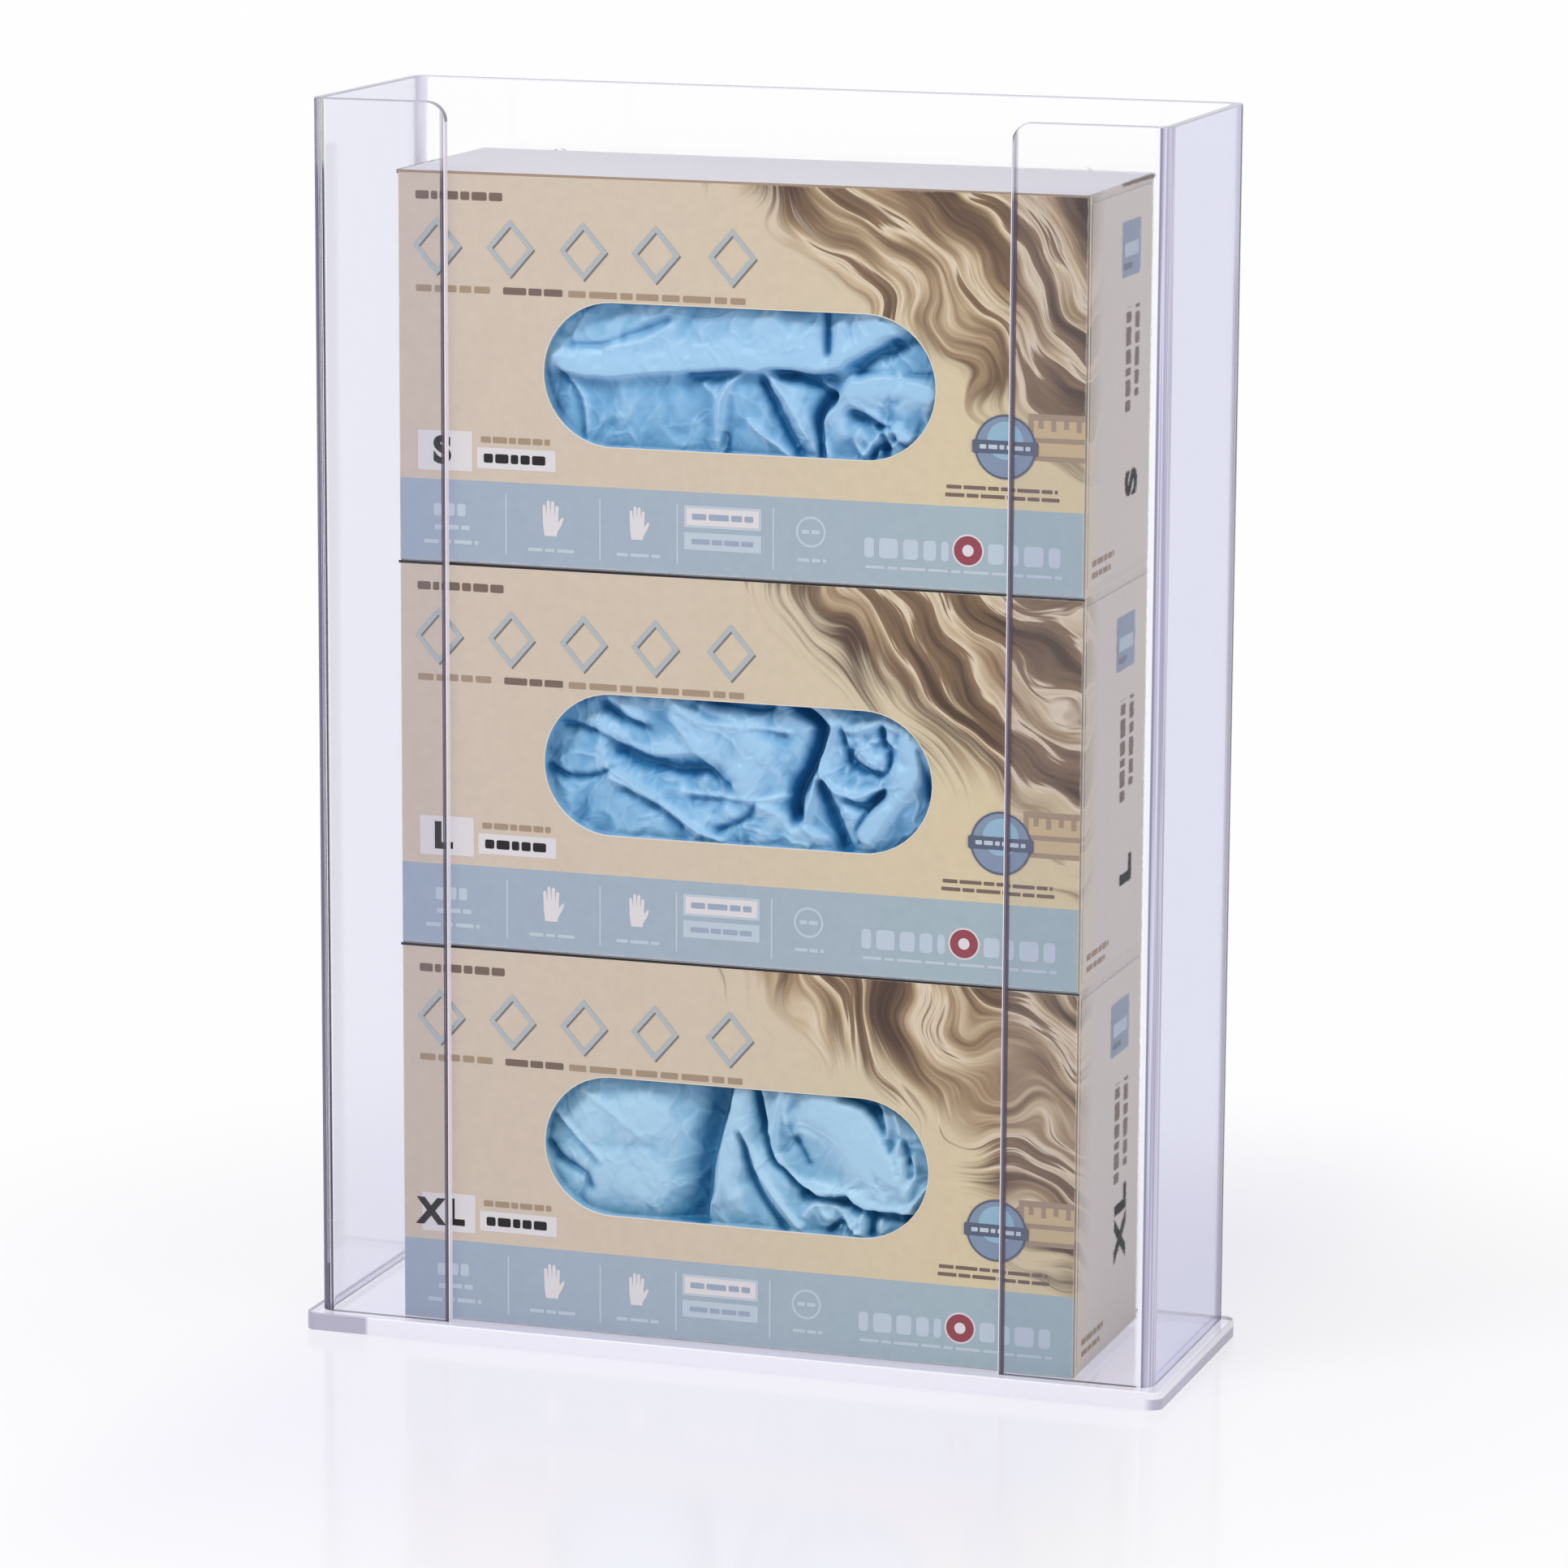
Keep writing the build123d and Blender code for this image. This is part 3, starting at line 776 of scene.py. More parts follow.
def print_back(size, floor_z):
    """The back: rows of small words in three columns, four icons, the size label and two long lines."""
    p = Print("back", size, floor_z)
    small_words = [(5.0, 7.5, 3.4, 9.0), (8.0, 4.2, 6.4), (3.6, 9.4, 5.2)]
    for column, left in enumerate((14.0, 88.0, 162.0)):
        p.dashes(left, left + 44.0, 105.0, 109.4, [12.0, 8.0, 14.0], 1.6, "brown")
        for row in range(9):
            right = left + 56.0 - (row * 13 + column * 7) % 17  # a ragged right edge
            low = 97.0 - 5.4 * row
            p.dashes(left, right, low, low + 1.9, small_words[row % 3], 1.1, "tan")
    for left in (15.0, 32.0, 49.0, 66.0):
        p.bar(left, 33.0, left + 13.0, 46.0, "white", 1, 1.0)
        p.ring(left + 6.5, 39.5, 4.6, 0.7, "steel", 2)
    p.hand(21.5, 39.2, 0.5, "steel", 3)
    p.hand(55.5, 39.2, 0.5, "steel", 3)
    p.bar(196.0, 31.0, 219.0, 45.6, "white", 1, 0.4)
    p.size_mark(216.5, 32.6, 11.0)
    p.dashes(14.0, 120.0, 11.0, 14.0, [9.0, 6.0, 12.0, 4.6], 1.4, "brown")
    p.dashes(14.0, 96.0, 5.8, 7.8, [6.0, 9.0, 4.0, 7.0], 1.2, "tan")
    p.finish()


def print_heading(p):
    """A short line, a row of five diamonds, made to look embossed by a painted shadow under each, and a long
    line.
    """
    p.dashes(6.6, 36.4, 119.2, 121.9, [4.6, 2.2, 6.0, 3.1, 5.2], 0.8, "brown")
    for u in (13.9, 39.0, 64.2, 89.0, 115.0):
        # a painted shadow to the lower right of each silver diamond
        p.diamond(u + 0.45, 103.5, 8.2, 9.4, 1.5, "shade", 1)
        p.diamond(u, 104.0, 8.2, 9.4, 1.5, "silver", 2)
    p.dashes(6.6, 33.0, 89.0, 91.2, [5.4, 7.2, 4.0], 1.1, "tan")
    p.dashes(36.5, 57.0, 89.0, 91.3, [8.0, 4.5], 0.8, "brown")
    p.dashes(59.0, 119.5, 89.0, 91.1, [6.0, 9.5, 4.2, 7.6], 1.2, "tan")


def print_size_label(p):
    """The size on its white label, and the label beside it."""
    p.bar(7.0, 30.4, 25.6, 43.6, "white", 1, 0.4)
    p.size_mark(21.8 if p.size == "extra_large" else 18.2, 32.6, 8.5)
    p.dashes(28.6, 52.6, 40.2, 42.2, [3.4, 5.0, 2.4, 4.4], 0.7, "tan")
    p.bar(27.2, 31.6, 54.6, 38.6, "white", 1, 0.4)
    p.dashes(29.6, 52.0, 33.6, 36.6, [3.2, 4.6, 2.6], 0.8, "black", 2)


def print_band(p):
    """The band at the foot: fields between upright lines, with words, hands, labels, a ring and a disc."""
    for line in ((12.4, 23.4, 15.4, 19.6, [2.9, 3.3, 3.0], 0.8), (12.8, 25.4, 10.9, 12.5, [3.0, 4.2], 0.8),
                 (9.0, 27.6, 6.2, 7.6, [5.2, 3.0, 6.4], 0.9), (45.0, 62.0, 5.2, 6.4, [5.0, 3.4, 6.0], 0.8),
                 (75.6, 91.6, 5.2, 6.4, [4.0, 6.4, 3.0], 0.8), (138.9, 145.3, 15.9, 17.3, [2.6, 3.0], 0.6),
                 (137.4, 147.4, 6.8, 8.0, [4.2, 3.0], 0.7),
                 (160.0, 188.4, 9.4, 16.0, [3.4, 6.4, 5.2, 4.4], 1.6),
                 (201.4, 227.0, 9.4, 16.0, [5.4, 3.6, 6.6, 4.0], 1.6),
                 (160.4, 226.4, 5.9, 6.9, [6.6, 3.2, 8.4], 1.0)):
        p.dashes(*line, "pale")
    for u in (37.0, 69.6, 96.2, 129.0):
        p.bar(u, 3.6, u + 0.6, 23.6, "pale")
    p.hand(52.9, 16.2, 0.92, "white")
    p.hand(82.8, 16.2, 0.86, "white")
    p.bar(98.8, 15.9, 125.2, 23.2, "pale", 1, 0.4)
    p.bar(99.6, 16.7, 124.4, 22.4, "white", 2, 0.3)
    p.dashes(101.6, 122.4, 18.6, 20.5, [4.8, 6.8, 3.6], 0.9, "mist", 3)
    p.bar(98.8, 8.6, 125.2, 14.4, "pale", 1, 0.4)
    p.dashes(101.4, 122.4, 10.6, 12.2, [6.2, 3.4, 5.0], 0.8, "mist", 2)
    p.ring(142.0, 16.6, 5.1, 0.8, "pale")
    for layer, (radius, ink) in enumerate(((5.3, "white"), (4.7, "red"), (1.9, "white")), 1):
        p.disc(194.8, 13.4, radius, ink, layer)


def print_badge(p):
    """A panel with a scalloped head, the badge over its corner, and two lines under it."""
    p.bar(214.6, 43.6, 233.4, 58.6, "tan", 1)
    p.bar(216.4, 45.2, 233.4, 49.4, "straw", 2)
    p.bar(216.4, 51.0, 233.4, 56.6, "straw", 2)
    for step in range(4):
        p.bar(218.0 + 4.2 * step, 54.0 - 0.8 * (step % 2), 219.6 + 4.2 * step, 56.6, "tan", 3)
    p.disc(207.0, 47.4, 10.4, "dark_steel", 4)
    p.disc(207.0, 47.4, 9.7, "steel", 5)
    p.disc(207.0, 49.4, 6.2, "sky", 6)
    p.bar(195.9, 45.2, 218.1, 49.4, "dark_steel", 7, 0.6)
    p.dashes(198.4, 215.6, 46.6, 48.0, [2.2, 3.0, 1.6], 0.7, "pale", 8)
    p.dashes(187.4, 224.6, 33.2, 34.4, [5.0, 7.4, 3.6], 0.7, "brown")
    p.dashes(187.0, 225.2, 30.6, 31.8, [6.4, 4.0, 8.0], 0.7, "brown")


def opening_outline(grow):
    """The front's opening, with its round ends, grown by so much."""
    middle, reach = FRONT_WIDTH / 2, (OPENING_WIDTH - OPENING_HEIGHT) / 2
    radius = OPENING_HEIGHT / 2 + grow
    return (arc_points(middle + reach, OPENING_MIDDLE, radius, -90, 180, 24)
            + arc_points(middle - reach, OPENING_MIDDLE, radius, 90, 180, 24))


def print_front(size, floor_z):
    p = Print("front", size, floor_z)
    # the shadow of the upper fold
    shadow = "tan" if size == "small" else "black"
    p.polygon([(0.0, 127.6), (FRONT_WIDTH, 127.9), (FRONT_WIDTH, 128.5), (0.0, 128.5)], shadow)
    print_heading(p)
    print_size_label(p)
    print_band(p)
    print_badge(p)
    p.strip(opening_outline(0.35), opening_outline(0.0), "cream")  # a pale rim of torn perforation
    p.finish()


for size in SIZES:
    floor_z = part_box(f"carton_{size}")[0].z
    board = board_material(f"board_{size}", floor_z)
    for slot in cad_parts[f"carton_{size}"].material_slots:
        slot.material = board
    print_front(size, floor_z)
    for side in ("right", "left"):
        print_end(side, size, floor_z)
    print_back(size, floor_z)


# ---------------------------------------------------------------- gloves

MARGIN = 3.0  # mm by which the film's folds reach past the opening, behind the front
COLUMNS, ROWS = 396, 150  # of the film's mesh
REST, LEAST = 4.0, 0.15  # mm behind the pack's front: where smooth film lies, and where high folds stop
SOFTNESS = 0.5  # how gently they stop there
STEEPNESS = 1.35  # scales the height of all folds

# Folds of the film. Each gives its reach to the left and right of the line it follows, its rise (negative
# for a hollow), its sharpness (1 sharp, 2 round) and the line's points, all in mm from the opening's middle.
FOLDS = {
    "small": [
        (15, 1.3, 2.6, 1.3, (-60, 1), (-46, 0), (7, 5), (21, 4), (30, 5), (53, 18)),
        (1.2, 3.6, -2.2, 1.5, (-17, 1), (8, 3), (21, 2), (29, 2)),
        (1.6, 1.6, 1, 1.3, (-62, 5), (-55, 1), (-43, 0)),
        (1.3, 2, -1.3, 1.2, (-58, 9), (-46, 10), (-26, 18)),
        (1.6, 1.6, 0.7, 1.3, (-46, 8), (-34, 11), (-25, 16)),
        (1.3, 1.2, -2.6, 1.2, (28, 24), (29, 10)),
        (1.2, 1.6, 1.5, 1.2, (32, 7), (33, 19)),
        (1.4, 1.8, 1.5, 1.2, (32, 7), (48, 18)),
        (2.6, 2.6, -1.9, 1.5, (39, 5), (49, 12), (60, 16)),
        (1.1, 1.1, -1.6, 1.2, (48, 22), (52, 19), (57, 18)),
        (1.4, 6, 2.2, 1.4, (39, 0), (47, 3), (57, 2), (64, 0)),
        (5, 5, 2.2, 1.8, (45, -4), (62, -3)),
        (0.9, 0.9, -1.1, 1.2, (39, 4), (51, 4), (54, 2), (56, 4), (65, 4)),
        (1.2, 1, 1.1, 1.2, (38, -6), (57, -16)),
        (1, 2.6, -2.6, 1.4, (38, -9), (45, -12), (48, -16), (49, -22)),
        (1, 1, 1.5, 1.2, (40, -15), (39, -19), (41, -23)),
        (1.4, 1.6, 2, 1.2, (5, 4), (0, 2), (-5, -3), (-7, -10), (-8, -24)),
        (1.2, 1.2, -1.8, 1.3, (-8, -24), (-6, -18), (-5, -20), (-6, -25)),
        (1.4, 1.4, 1.1, 1.3, (-13, -2), (-8, -7), (-7, -12)),
        (2.6, 2, 3, 1.3, (5, 4), (10, 1), (21, -14), (26, -24)),
        (1.6, 1.6, -2.8, 1.4, (7, -1), (19, -23)),
        (1, 1.2, 1.8, 1.1, (3, -14), (18, -25)),
        (1.6, 2.2, -2.2, 1.4, (13, 2), (21, 2), (30, -4)),
        (0.9, 1, 1.1, 1.1, (21, 3), (32, -3)),
        (2.6, 2.2, -4.6, 1.5, (30, -5), (26, -10), (26, -16), (27, -24)),
        (1.2, 1.6, 2.2, 1.2, (38, 1), (29, -11), (28, -16), (30, -24)),
        (2.6, 2.6, 1.2, 1.6, (39, -1), (35, -7), (34, -15)),
        (1.2, 1.6, 1.4, 1.2, (-58, -3), (-54, -9), (-53, -22)),
        (1.6, 1.3, -1.4, 1.3, (-63, 1), (-56, -9), (-54, -22)),
        (5, 5, 0.6, 1.8, (-2, 21), (11, 20)),
        (0.9, 0.9, 1.6, 1.1, (42, -22), (44, -19), (46, -17)),
        (0.8, 0.9, -2, 1.2, (46, -13), (50, -13), (52, -17)),
        (0.9, 0.8, 1.5, 1.1, (51, -19), (55, -16), (59, -17)),
        (0.8, 0.8, -1.6, 1.2, (44, -23), (46, -20), (50, -20)),
    ],
    "large": [
        (2.6, 1.1, 1.9, 1.2, (-45, 22), (-32, 13)),
        (1.2, 1.8, -2.2, 1.4, (-47, 19), (-40, 15), (-32, 13)),
        (1.1, 1.6, -1.8, 1.3, (-61, 12), (-53, 11), (-45, 8)),
        (4.5, 1.1, 1.8, 1.3, (-48, 10), (-32, 4), (-17, 5)),
        (3, 2.6, -3.6, 1.5, (-42, 4), (-33, 1), (-21, -1), (-11, 0), (-4, -4)),
        (8, 1, 2.6, 1.1, (-22, 14), (-9, 0), (-2, -5)),
        (1.2, 1.2, 1.8, 1.2, (-46, -2), (-29, -10)),
        (1.2, 1.4, 2.2, 1.1, (-45, -5), (-30, -11), (-15, -20), (-7, -23)),
        (1.4, 1.6, -1.6, 1.3, (-40, -9), (-29, -14), (-21, -20)),
        (1.1, 1.5, -2, 1.3, (-66, -3), (-60, -5), (-52, -5), (-45, -2)),
        (1, 1.1, 1.4, 1.1, (-25, 24), (-13, 16), (17, 14)),
        (1.1, 1.4, -1.1, 1.3, (-17, 21), (-8, 16), (15, 13)),
        (1.4, 1.4, -2.6, 1.3, (-15, 23), (8, 21), (10, 24)),
        (6, 6, 0.9, 1.8, (1, 13), (5, 5), (0, -4)),
        (2.2, 2.6, -6.2, 1.5, (20, 22), (26, 18), (27, 14), (25, 6), (19, -6), (19, -14)),
        (4, 1.1, 1.9, 1.3, (24, 22), (36, 16), (47, 18), (53, 17)),
        (1.2, 1.2, 2.6, 1.1, (32, 16), (29, 10), (27, 3), (30, -2), (34, -5), (40, -6), (49, -2)),
        (1.4, 1.4, -2.8, 1.4, (34, 16), (37, 6)),
        (1.4, 1.6, -3, 1.4, (39, 4), (46, 2)),
        (1.1, 1.1, -2.4, 1.3, (48, 17), (49, 12), (51, 10), (50, 4), (48, 2)),
        (1.6, 1.6, -2.6, 1.4, (36, -7), (42, -9), (47, -5)),
        (2, 2.6, -4.6, 1.5, (27, -3), (36, -23)),
        (1.1, 1.1, 2.6, 1.2, (25, -1), (23, -15)),
        (4.2, 4.2, 3.4, 1.9, (59, 11), (59, 3), (43, -19)),
        (1.2, 1, -2.4, 1.3, (49, -2), (40, -16), (41, -21)),
        (1.4, 1.4, -2.2, 1.4, (61, 11), (65, -4)),
        (1, 1.4, 1.2, 1.2, (-19, -8), (4, -9), (18, -7)),
        (1.2, 2.2, -1.3, 1.4, (-17, -10), (2, -10)),
        (1.1, 1.6, -1.9, 1.3, (-8, -20), (2, -15), (5, -10)),
        (1.2, 5, 1.9, 1.3, (5, -10), (27, -19)),
    ],
    "extra_large": [
        (11, 11, 2, 2, (-49, 8), (-27, 8), (-24, -6), (-45, -9)),
        (1.2, 1.4, 0.9, 1.1, (-55, 18), (-34, 4)),
        (1.1, 1.3, 1.2, 1.1, (-64, 10), (-48, -6)),
        (1.2, 1.3, -0.9, 1.2, (-64, 8), (-50, -7)),
        (1.3, 1.5, -2, 1.3, (-67, -1), (-62, -7), (-54, -11), (-52, -15)),
        (2, 9.5, -5, 1.4, (-3, 25), (-11, -6), (-12, -23)),
        (1, 1.1, 2.4, 1.1, (0, 25), (-5, 4), (-7, -14), (-10, -18), (-11, -23)),
        (3, 3, 2.2, 1.8, (2, 22), (-3, -5), (-2, -14)),
        (1.1, 1.3, -2.6, 1.2, (0, 7), (6, -10), (11, -18), (16, -24)),
        (1.2, 1.4, 2, 1.2, (2, 8), (9, -8), (21, -23)),
        (1.5, 1.3, -3.8, 1.3, (5, 25), (11, 1), (16, -5), (23, -11)),
        (1, 1, 1.5, 1.2, (7, 25), (11, 9)),
        (1.1, 1.4, 2.6, 1.1, (15, 24), (12, 7), (13, 0), (19, -6), (28, -10)),
        (1.2, 1.2, 1.4, 1.2, (17, 22), (16, 14), (18, 8)),
        (1, 1.2, -1.5, 1.1, (17, 11), (20, 5), (24, -1)),
        (11, 8, 2.6, 2, (30, 15), (48, -3)),
        (7, 7, 0.8, 1.8, (28, 19), (41, 13), (47, 1)),
        (1.2, 2.4, 1.3, 1.2, (39, 20), (46, 15), (58, -7)),
        (1.2, 1.6, -3.4, 1.4, (36, 23), (48, 19)),
        (2, 1.2, -2.4, 1.4, (45, 18), (50, 11), (55, -2)),
        (1, 1, 1.8, 1.2, (49, 20), (51, 16), (51, 10)),
        (1, 1, 1.6, 1.2, (54, 18), (56, 11), (55, 7)),
        (1, 1, -1.8, 1.2, (56, 10), (59, 2)),
        (1, 1, 1.6, 1.2, (60, 4), (61, -2), (58, -9)),
        (1.1, 1.1, 1.8, 1.2, (66, -5), (61, -11), (56, -16)),
        (1.6, 1, 1.9, 1.2, (29, -10), (37, -10), (42, -13), (50, -15), (60, -14)),
        (1, 2.2, -3.4, 1.4, (23, -12), (37, -13), (43, -16), (51, -16), (59, -16)),
        (1, 1, 1.6, 1.2, (23, -19), (26, -15), (31, -14), (35, -15)),
        (1, 1, 2.2, 1.2, (37, -16), (41, -23)),
        (1, 1, 2.2, 1.2, (43, -16), (43, -23)),
        (0.9, 0.9, -2.2, 1.2, (46, -17), (46, -23)),
        (0.9, 0.9, -2, 1.2, (31, -23), (35, -20), (39, -23)),
        (0.9, 0.9, 1.5, 1.1, (49, -18), (50, -22)),
    ],
}

# How crumpled the film is: everywhere, and more in some places (x, z, radius in mm, share)
CALM = {"small": 0.34, "large": 0.46, "extra_large": 0.28}
BUSY = {
    "small": [(50, -14, 14, 1.4), (50, 16, 12, 1.0), (17, -12, 14, 0.6), (-60, -5, 10, 0.5)],
    "large": [(47, 7, 16, 1.3), (-47, 5, 18, 0.8), (-20, -14, 20, 0.7), (20, 0, 20, 0.5), (27, -14, 14, 0.8)],
    "extra_large": [(56, 0, 12, 1.3), (40, -18, 13, 1.3), (13, 7, 14, 0.6), (-63, -7, 10, 0.6)],
}


def curved(points, steps=6):
    """A Catmull-Rom curve through a line's points."""
    points = [np.array(p, float) for p in points]
    points = [2 * points[0] - points[1]] + points + [2 * points[-1] - points[-2]]
    out = []
    for i in range(1, len(points) - 2):
        a, b, c, d = points[i - 1:i + 3]
        for t in np.arange(steps) / steps:
            square, cube = 2 * a - 5 * b + 4 * c - d, 3 * b - a - 3 * c + d
            out.append(0.5 * (2 * b + (c - a) * t + square * t**2 + cube * t**3))
    out.append(points[-2])
    return out


def fold_rise(x, z, fold):
    """How far one fold lifts the film at each place, in mm."""
    left_reach, right_reach, height, power, *line = fold
    nearest = np.full(x.shape, 1e9)
    side = np.zeros(x.shape)
    corners = curved(line)
    for (x0, z0), (x1, z1) in zip(corners[:-1], corners[1:]):
        dx, dz = x1 - x0, z1 - z0
        length = math.hypot(dx, dz)
        along = np.clip(((x - x0) * dx + (z - z0) * dz) / length**2, 0, 1)
        off_x, off_z = x - x0 - along * dx, z - z0 - along * dz
        distance = np.hypot(off_x, off_z)
        turned = (dx * off_z - dz * off_x) / length / np.maximum(distance, 1e-6)
        closer = distance < nearest
        nearest = np.where(closer, distance, nearest)
        side = np.where(closer, turned, side)
    left = 0.5 + 0.5 * np.sin(np.clip(side, -1, 1) * np.pi / 2)
    reach = right_reach + (left_reach - right_reach) * left
    nearest = np.maximum(np.sqrt(nearest**2 + 0.06) - 0.15, 0)  # a crest that is a little rounded
    return height * np.exp(-((nearest / reach) ** power))


def lattice(x, z, cell, seed, facets=False):
    """Values between -1 and 1 from a seeded lattice: smooth, or in flat facets."""
    values = np.random.default_rng(seed).uniform(-1, 1, (128, 128))
    gx, gz = x / cell + 40.5, z / cell + 40.5
    if facets:
        gx = gx + 0.5 * gz
    ix, iz = np.floor(gx).astype(int), np.floor(gz).astype(int)
    fx, fz = gx - ix, gz - iz

    def at(i, j):
        return values[i % 128, j % 128]

    a, b, c, d = at(ix, iz), at(ix + 1, iz), at(ix, iz + 1), at(ix + 1, iz + 1)
    if facets:
        return np.where(fx > fz, a + (b - a) * fx + (d - b) * fz, a + (c - a) * fz + (d - c) * fx)
    fx, fz = fx**3 * (fx * (fx * 6 - 15) + 10), fz**3 * (fz * (fz * 6 - 15) + 10)
    return (a * (1 - fx) + b * fx) * (1 - fz) + (c * (1 - fx) + d * fx) * fz


def softened(grid, width):
    """A grid blurred a little, so that no crease is sharper than the mesh can hold."""
    reach = int(3 * width + 1)
    shares = np.exp(-0.5 * (np.arange(-reach, reach + 1) / width) ** 2)
    shares /= shares.sum()
    for axis in (0, 1):
        padded = np.pad(grid, [(reach, reach) if a == axis else (0, 0) for a in (0, 1)], mode="edge")
        count = grid.shape[axis]
        grid = sum(w * np.take(padded, range(i, i + count), axis=axis) for i, w in enumerate(shares))
    return grid


def film_depths(size, x, z):
    """How far the film lies behind the pack's front, in mm."""
    seed = 100 * SIZES.index(size)
    push_x = 2.2 * lattice(x, z, 9, seed + 1) + 0.8 * lattice(x, z, 3.4, seed + 2)
    push_z = 2.2 * lattice(x, z, 9, seed + 3) + 0.8 * lattice(x, z, 3.4, seed + 4)
    rise = sum(fold_rise(x + 0.14 * push_x, z + 0.14 * push_z, fold) for fold in FOLDS[size])
    busy = np.full(x.shape, CALM[size])
    for at_x, at_z, radius, share in BUSY[size]:
        busy = np.maximum(busy, share * np.exp(-((np.hypot(x - at_x, z - at_z) / radius) ** 2)))
    for cell, height, kind in ((9.0, 1.5, 5), (5.0, 1.1, 6), (2.6, 0.55, 7), (1.4, 0.2, 8)):
        rise = rise + height * busy * lattice(x + push_x, z + push_z, cell, seed + kind, facets=True)
    for cell, height, width, kind in ((12.0, 0.42, 0.11, 9), (6.5, 0.28, 0.13, 10)):
        facets = lattice(x + push_x, z + push_z, cell, seed + kind, facets=True)
        rise = rise + height * (0.3 + busy) * np.clip(1 - np.abs(facets) / width, 0, 1)
    raw = REST - LEAST - STEEPNESS * rise
    kept = (raw + np.hypot(raw, SOFTNESS)) / 2
    past_straight = np.maximum(np.abs(x) - (OPENING_WIDTH - OPENING_HEIGHT) / 2, 0)
    outside = np.hypot(past_straight, z) - OPENING_HEIGHT / 2
    share = np.clip(1 - outside / MARGIN, 0, 1)
    return softened(LEAST + kept * share**2 * (3 - 2 * share), 0.55)


def glove_material(name, light, middle, dark):
    """Thin film: pale on its crests and dark in its pockets, partly by painted shade."""
    s = Shader(name)
    place, *_ = s.place()
    # the depth attribute holds the pale-to-dark share, partly painted shade in the film's hollows
    depth = s.node("ShaderNodeAttribute", {"attribute_name": "depth"}).outputs["Fac"]
    blotch = s.noise(place, 0.12, 3.0, 0.55)
    texture = s.noise(place, 3.2, 2.0, 0.6)
    film = s.node("ShaderNodeBsdfPrincipled", Specular_IOR_Level=0.5, Sheen_Weight=0.08,
                  Base_Color=s.ramp(s.add(depth, s.swing(blotch, 0.16)),
                                    [(0.05, light), (0.38, middle), (0.9, dark)]),
                  Roughness=s.ramp(blotch, [(0.3, grey(0.44)), (0.7, grey(0.56))]),
                  Normal=s.bump(texture, 0.06, 0.00006))
    return s.finish(film.outputs[0])


def pocket_colour_and_shade(depth):
    """0 on the crests to 1 in the pockets: the film's own colour, paler where stretched and deeper where
    doubled, with painted shade in its hollows.
    """
    deep = 0.30 + (depth - REST) / 10.0
    for reach, share in ((4.0, 0.10), (10.0, 0.10), (20.0, 0.06)):
        deep += share * (depth - softened(depth, reach))
    return np.clip(deep, 0, 1)


def glove_film(size, material):
    """The front of a pack of gloves: crumpled film over the opening, on the pack's block."""
    carton_low, carton_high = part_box(f"carton_{size}")
    low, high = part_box(f"gloves_{size}")
    middle_x = (carton_low.x + carton_high.x) / 2
    middle_z = (carton_low.z + carton_high.z) / 2
    width, height = OPENING_WIDTH + 2 * MARGIN, OPENING_HEIGHT + 2 * MARGIN
    x, z = np.meshgrid(np.linspace(-width / 2, width / 2, COLUMNS + 1),
                       np.linspace(-height / 2, height / 2, ROWS + 1))
    depth = film_depths(size, x, z)
    points = np.stack([middle_x + x * MM, low.y + depth * MM, middle_z + z * MM], -1).reshape(-1, 3).tolist()
    index = np.arange(depth.size).reshape(depth.shape)
    corners = [index[:-1, :-1], index[:-1, 1:], index[1:, 1:], index[1:, :-1]]
    faces = np.stack(corners, -1).reshape(-1, 4).tolist()

    # flat front round the window, then the block's sides and back
    count = len(points)
    block = ((low.x, low.z), (high.x, low.z), (high.x, high.z), (low.x, high.z))
    points += [(block_x, y, block_z) for y in (low.y + LEAST * MM, high.y) for block_x, block_z in block]
    edge = [*index[0, :-1], *index[:-1, -1], *index[-1, :0:-1], *index[:0:-1, 0]]
    starts = [0, COLUMNS, COLUMNS + ROWS, 2 * COLUMNS + ROWS, len(edge)]
    for k in range(4):
        run = [int(edge[i % len(edge)]) for i in range(starts[k], starts[k + 1] + 1)]
        faces.append([count + k, count + (k + 1) % 4] + run[::-1])
    for k in range(4):
        a, b = count + k, count + (k + 1) % 4
        faces.append([a, a + 4, b + 4, b])
    faces.append([count + 4, count + 7, count + 6, count + 5])

    piece = make_piece(f"glove_film_{size}", points, faces, [material], smooth=True)
    values = np.zeros(len(points))
    # each point's pale-to-dark share, partly painted shade, kept in the depth attribute
    values[:depth.size] = pocket_colour_and_shade(depth).ravel()
    piece.data.attributes.new("depth", "FLOAT", "POINT").data.foreach_set("value", values)
    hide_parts(f"gloves_{size}")


GLOVE_BLUE = glove_material("glove_blue", srgb(156, 198, 228), srgb(112, 168, 208), srgb(26, 110, 162))
GLOVE_PALE = glove_material("glove_pale", srgb(166, 204, 227), srgb(126, 176, 206), srgb(32, 112, 156))
for size in SIZES:
    glove_film(size, GLOVE_PALE if size == "extra_large" else GLOVE_BLUE)


# ---------------------------------------------------------------- stage, light and camera

FLOOR_REACH = 30.0
FLOOR_DROP = 0.3 * MM  # below the base plate
SENSOR, LENS = 36.0, 151.376  # mm
CAMERA_PLACE = (0.67463613, -2.03635719, 0.60404736)
YAW, PITCH, ROLL = math.radians(18.23), math.radians(10.982), math.radians(0.289)  # left, down, clockwise


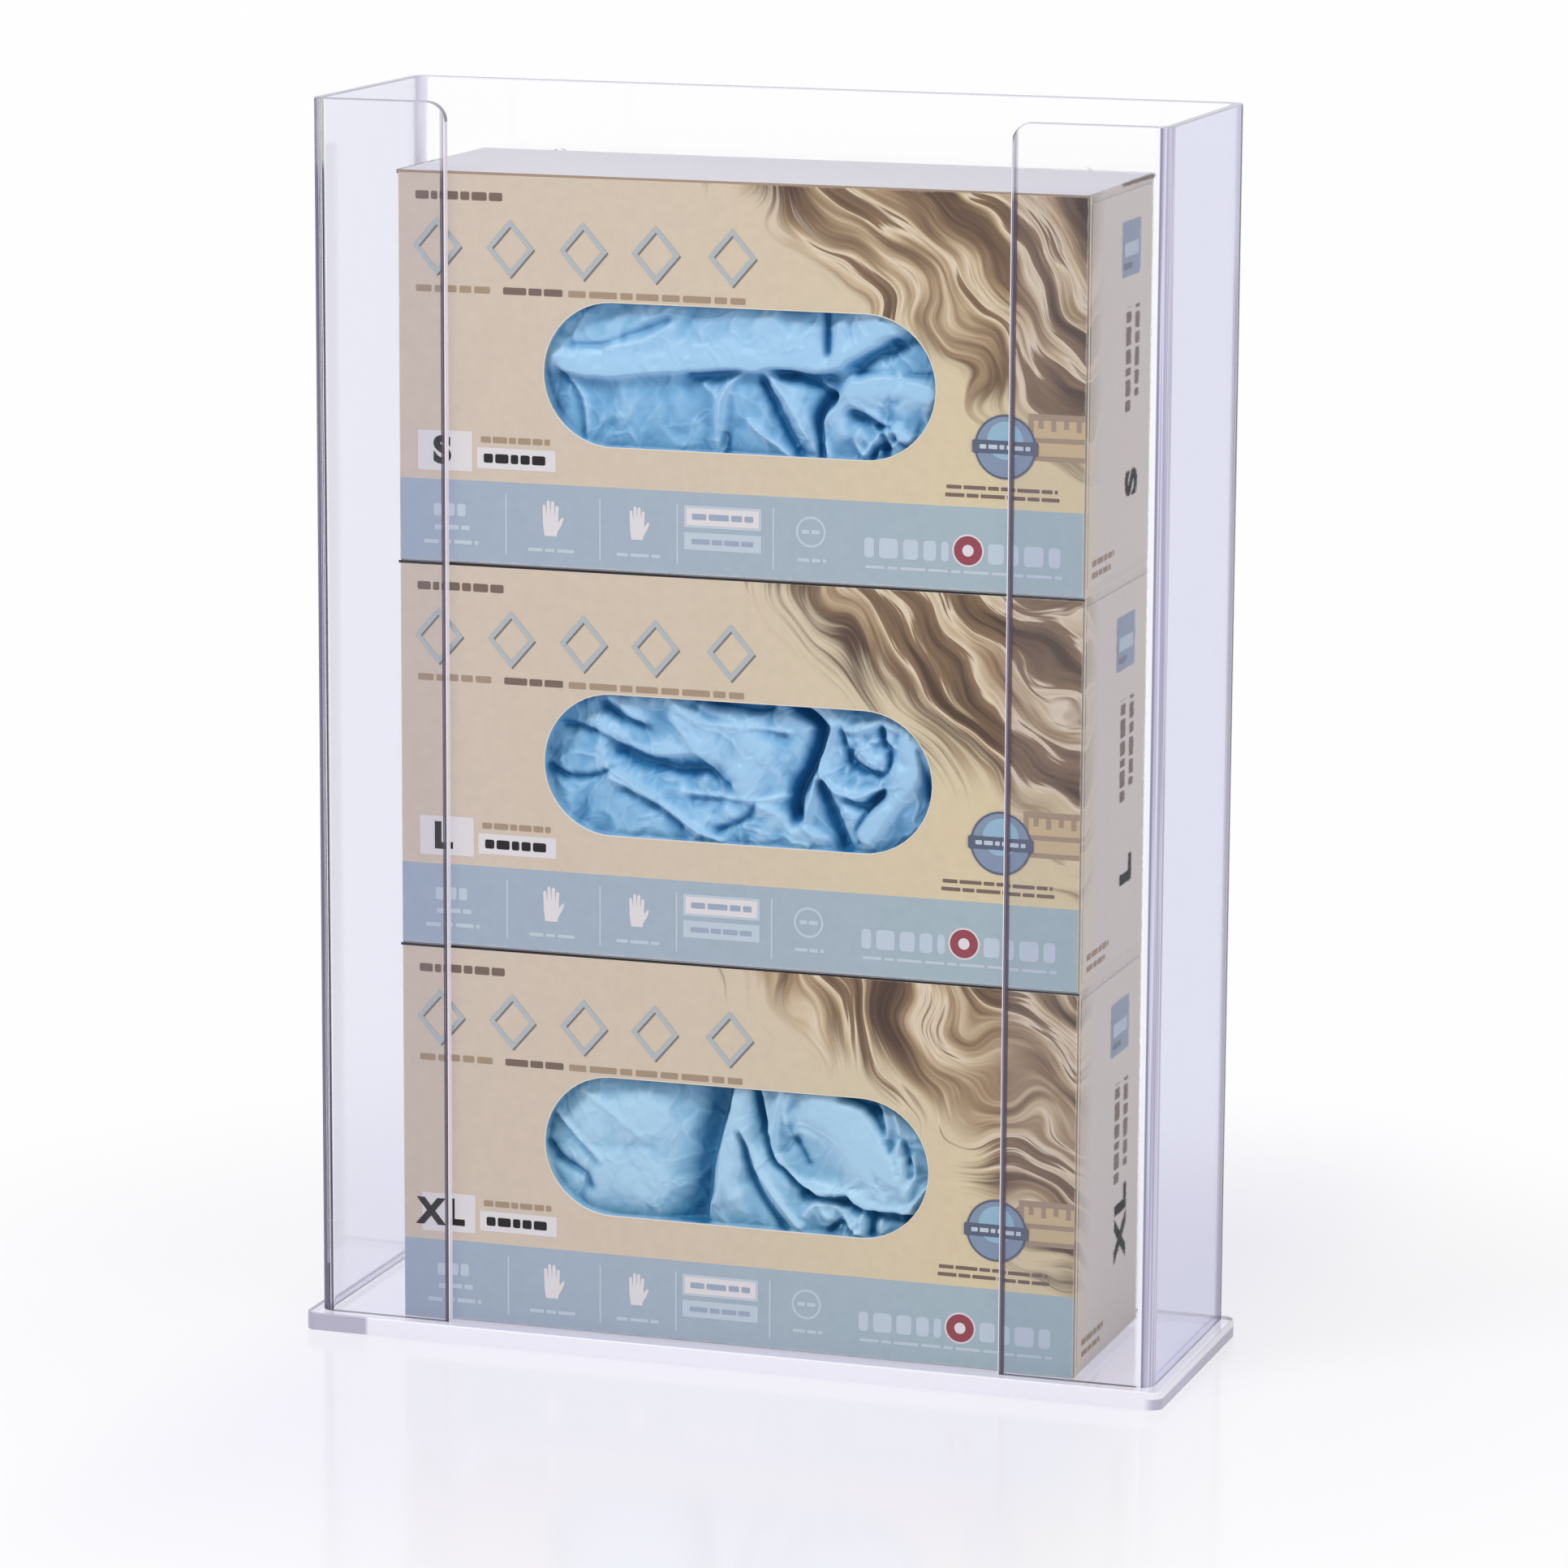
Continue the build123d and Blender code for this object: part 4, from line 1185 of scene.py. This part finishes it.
def floor_material():
    """A floor that takes the object's shadow and shows as plain white, slightly bluer near the object, where
    a pale reflection of it is painted.
    """
    s = Shader("floor_pale")
    _, x, y, _ = s.place()
    # painted reflection: the floor's white is a little lavender under and beside the object
    near = s.times(s.rest(s.smooth(s.math("ABSOLUTE", x), 110.0, 190.0)),
                   s.rest(s.smooth(s.math("ABSOLUTE", y), 120.0, 420.0)))
    white = s.node("ShaderNodeEmission", Color=s.mix(near, grey(1.0), (0.93, 0.92, 0.985, 1)), Strength=1.0)
    distance = s.math("SQRT", s.add(s.times(x, x), s.times(y, y)))
    away = s.math("MULTIPLY_ADD", s.smooth(distance, 180.0, 420.0), 0.20, 0.80)
    diffuse = s.node("ShaderNodeBsdfDiffuse", Color=(0.93, 0.91, 1.0, 1.0))
    lit = s.blend(s.times(s.seen_directly(), away), diffuse.outputs[0], white.outputs[0])
    gloss = s.node("ShaderNodeBsdfGlossy", Color=(0.95, 0.93, 1.0, 1), Roughness=0.12)
    from_camera = s.node("ShaderNodeLightPath").outputs["Is Camera Ray"]
    return s.finish(s.blend(s.times(from_camera, 0.1), lit, gloss.outputs[0]))


def make_floor():
    mesh = bpy.data.meshes.new("floor")
    corners = [(-1, -1), (1, -1), (1, 1), (-1, 1)]
    points = [(x * FLOOR_REACH, y * FLOOR_REACH, -FLOOR_DROP) for x, y in corners]
    mesh.from_pydata(points, [], [(0, 1, 2, 3)])
    mesh.materials.append(floor_material())
    floor = bpy.data.objects.new("floor", mesh)
    bpy.context.scene.collection.objects.link(floor)


def make_world():
    """Soft light on the object, in front of a background that is seen as plain white."""
    world = bpy.data.worlds.new("studio")
    bpy.context.scene.world = world
    world.use_nodes = True
    w = Graph(world.node_tree, "ShaderNodeOutputWorld")
    soft = w.node("ShaderNodeBackground", Color=(0.95, 0.97, 1.0, 1), Strength=0.34)
    white = w.node("ShaderNodeBackground", Color=grey(1.0), Strength=1.0)
    w.finish(w.blend(w.seen_directly(), soft.outputs[0], white.outputs[0]))


def lamp(name, place, target, side, power):
    """A square area lamp that faces its target."""
    data = bpy.data.lights.new(name, "AREA")
    data.shape = "RECTANGLE"
    data.size, data.size_y = side, side
    data.energy = power
    made = bpy.data.objects.new(name, data)
    made.location = place
    made.rotation_euler = (Vector(target) - Vector(place)).to_track_quat("-Z", "Y").to_euler()
    bpy.context.scene.collection.objects.link(made)


def make_camera():
    """The photo's camera."""
    data = bpy.data.cameras.new("camera")
    data.sensor_width = SENSOR
    data.lens = LENS
    data.clip_end = 100.0
    camera = bpy.data.objects.new("camera", data)
    level = Vector((-math.sin(YAW), math.cos(YAW), 0))
    right = Vector((math.cos(YAW), math.sin(YAW), 0))
    ahead = level * math.cos(PITCH) - UP * math.sin(PITCH)
    up = UP * math.cos(PITCH) + level * math.sin(PITCH)
    rolled_right = right * math.cos(ROLL) + up * math.sin(ROLL)
    rolled_up = -right * math.sin(ROLL) + up * math.cos(ROLL)
    turn = Matrix((rolled_right, rolled_up, -ahead)).transposed().to_4x4()
    camera.matrix_world = Matrix.Translation(CAMERA_PLACE) @ turn
    bpy.context.scene.collection.objects.link(camera)
    bpy.context.scene.camera = camera


make_floor()
make_world()
lamp("key", (-1.0, -1.35, 1.95), (0, 0, 0.2), 0.7, 31)
lamp("fill", (2.0, -1.0, 0.9), (0, 0, 0.2), 1.2, 20)
make_camera()
bpy.context.scene.view_settings.view_transform = "Standard"
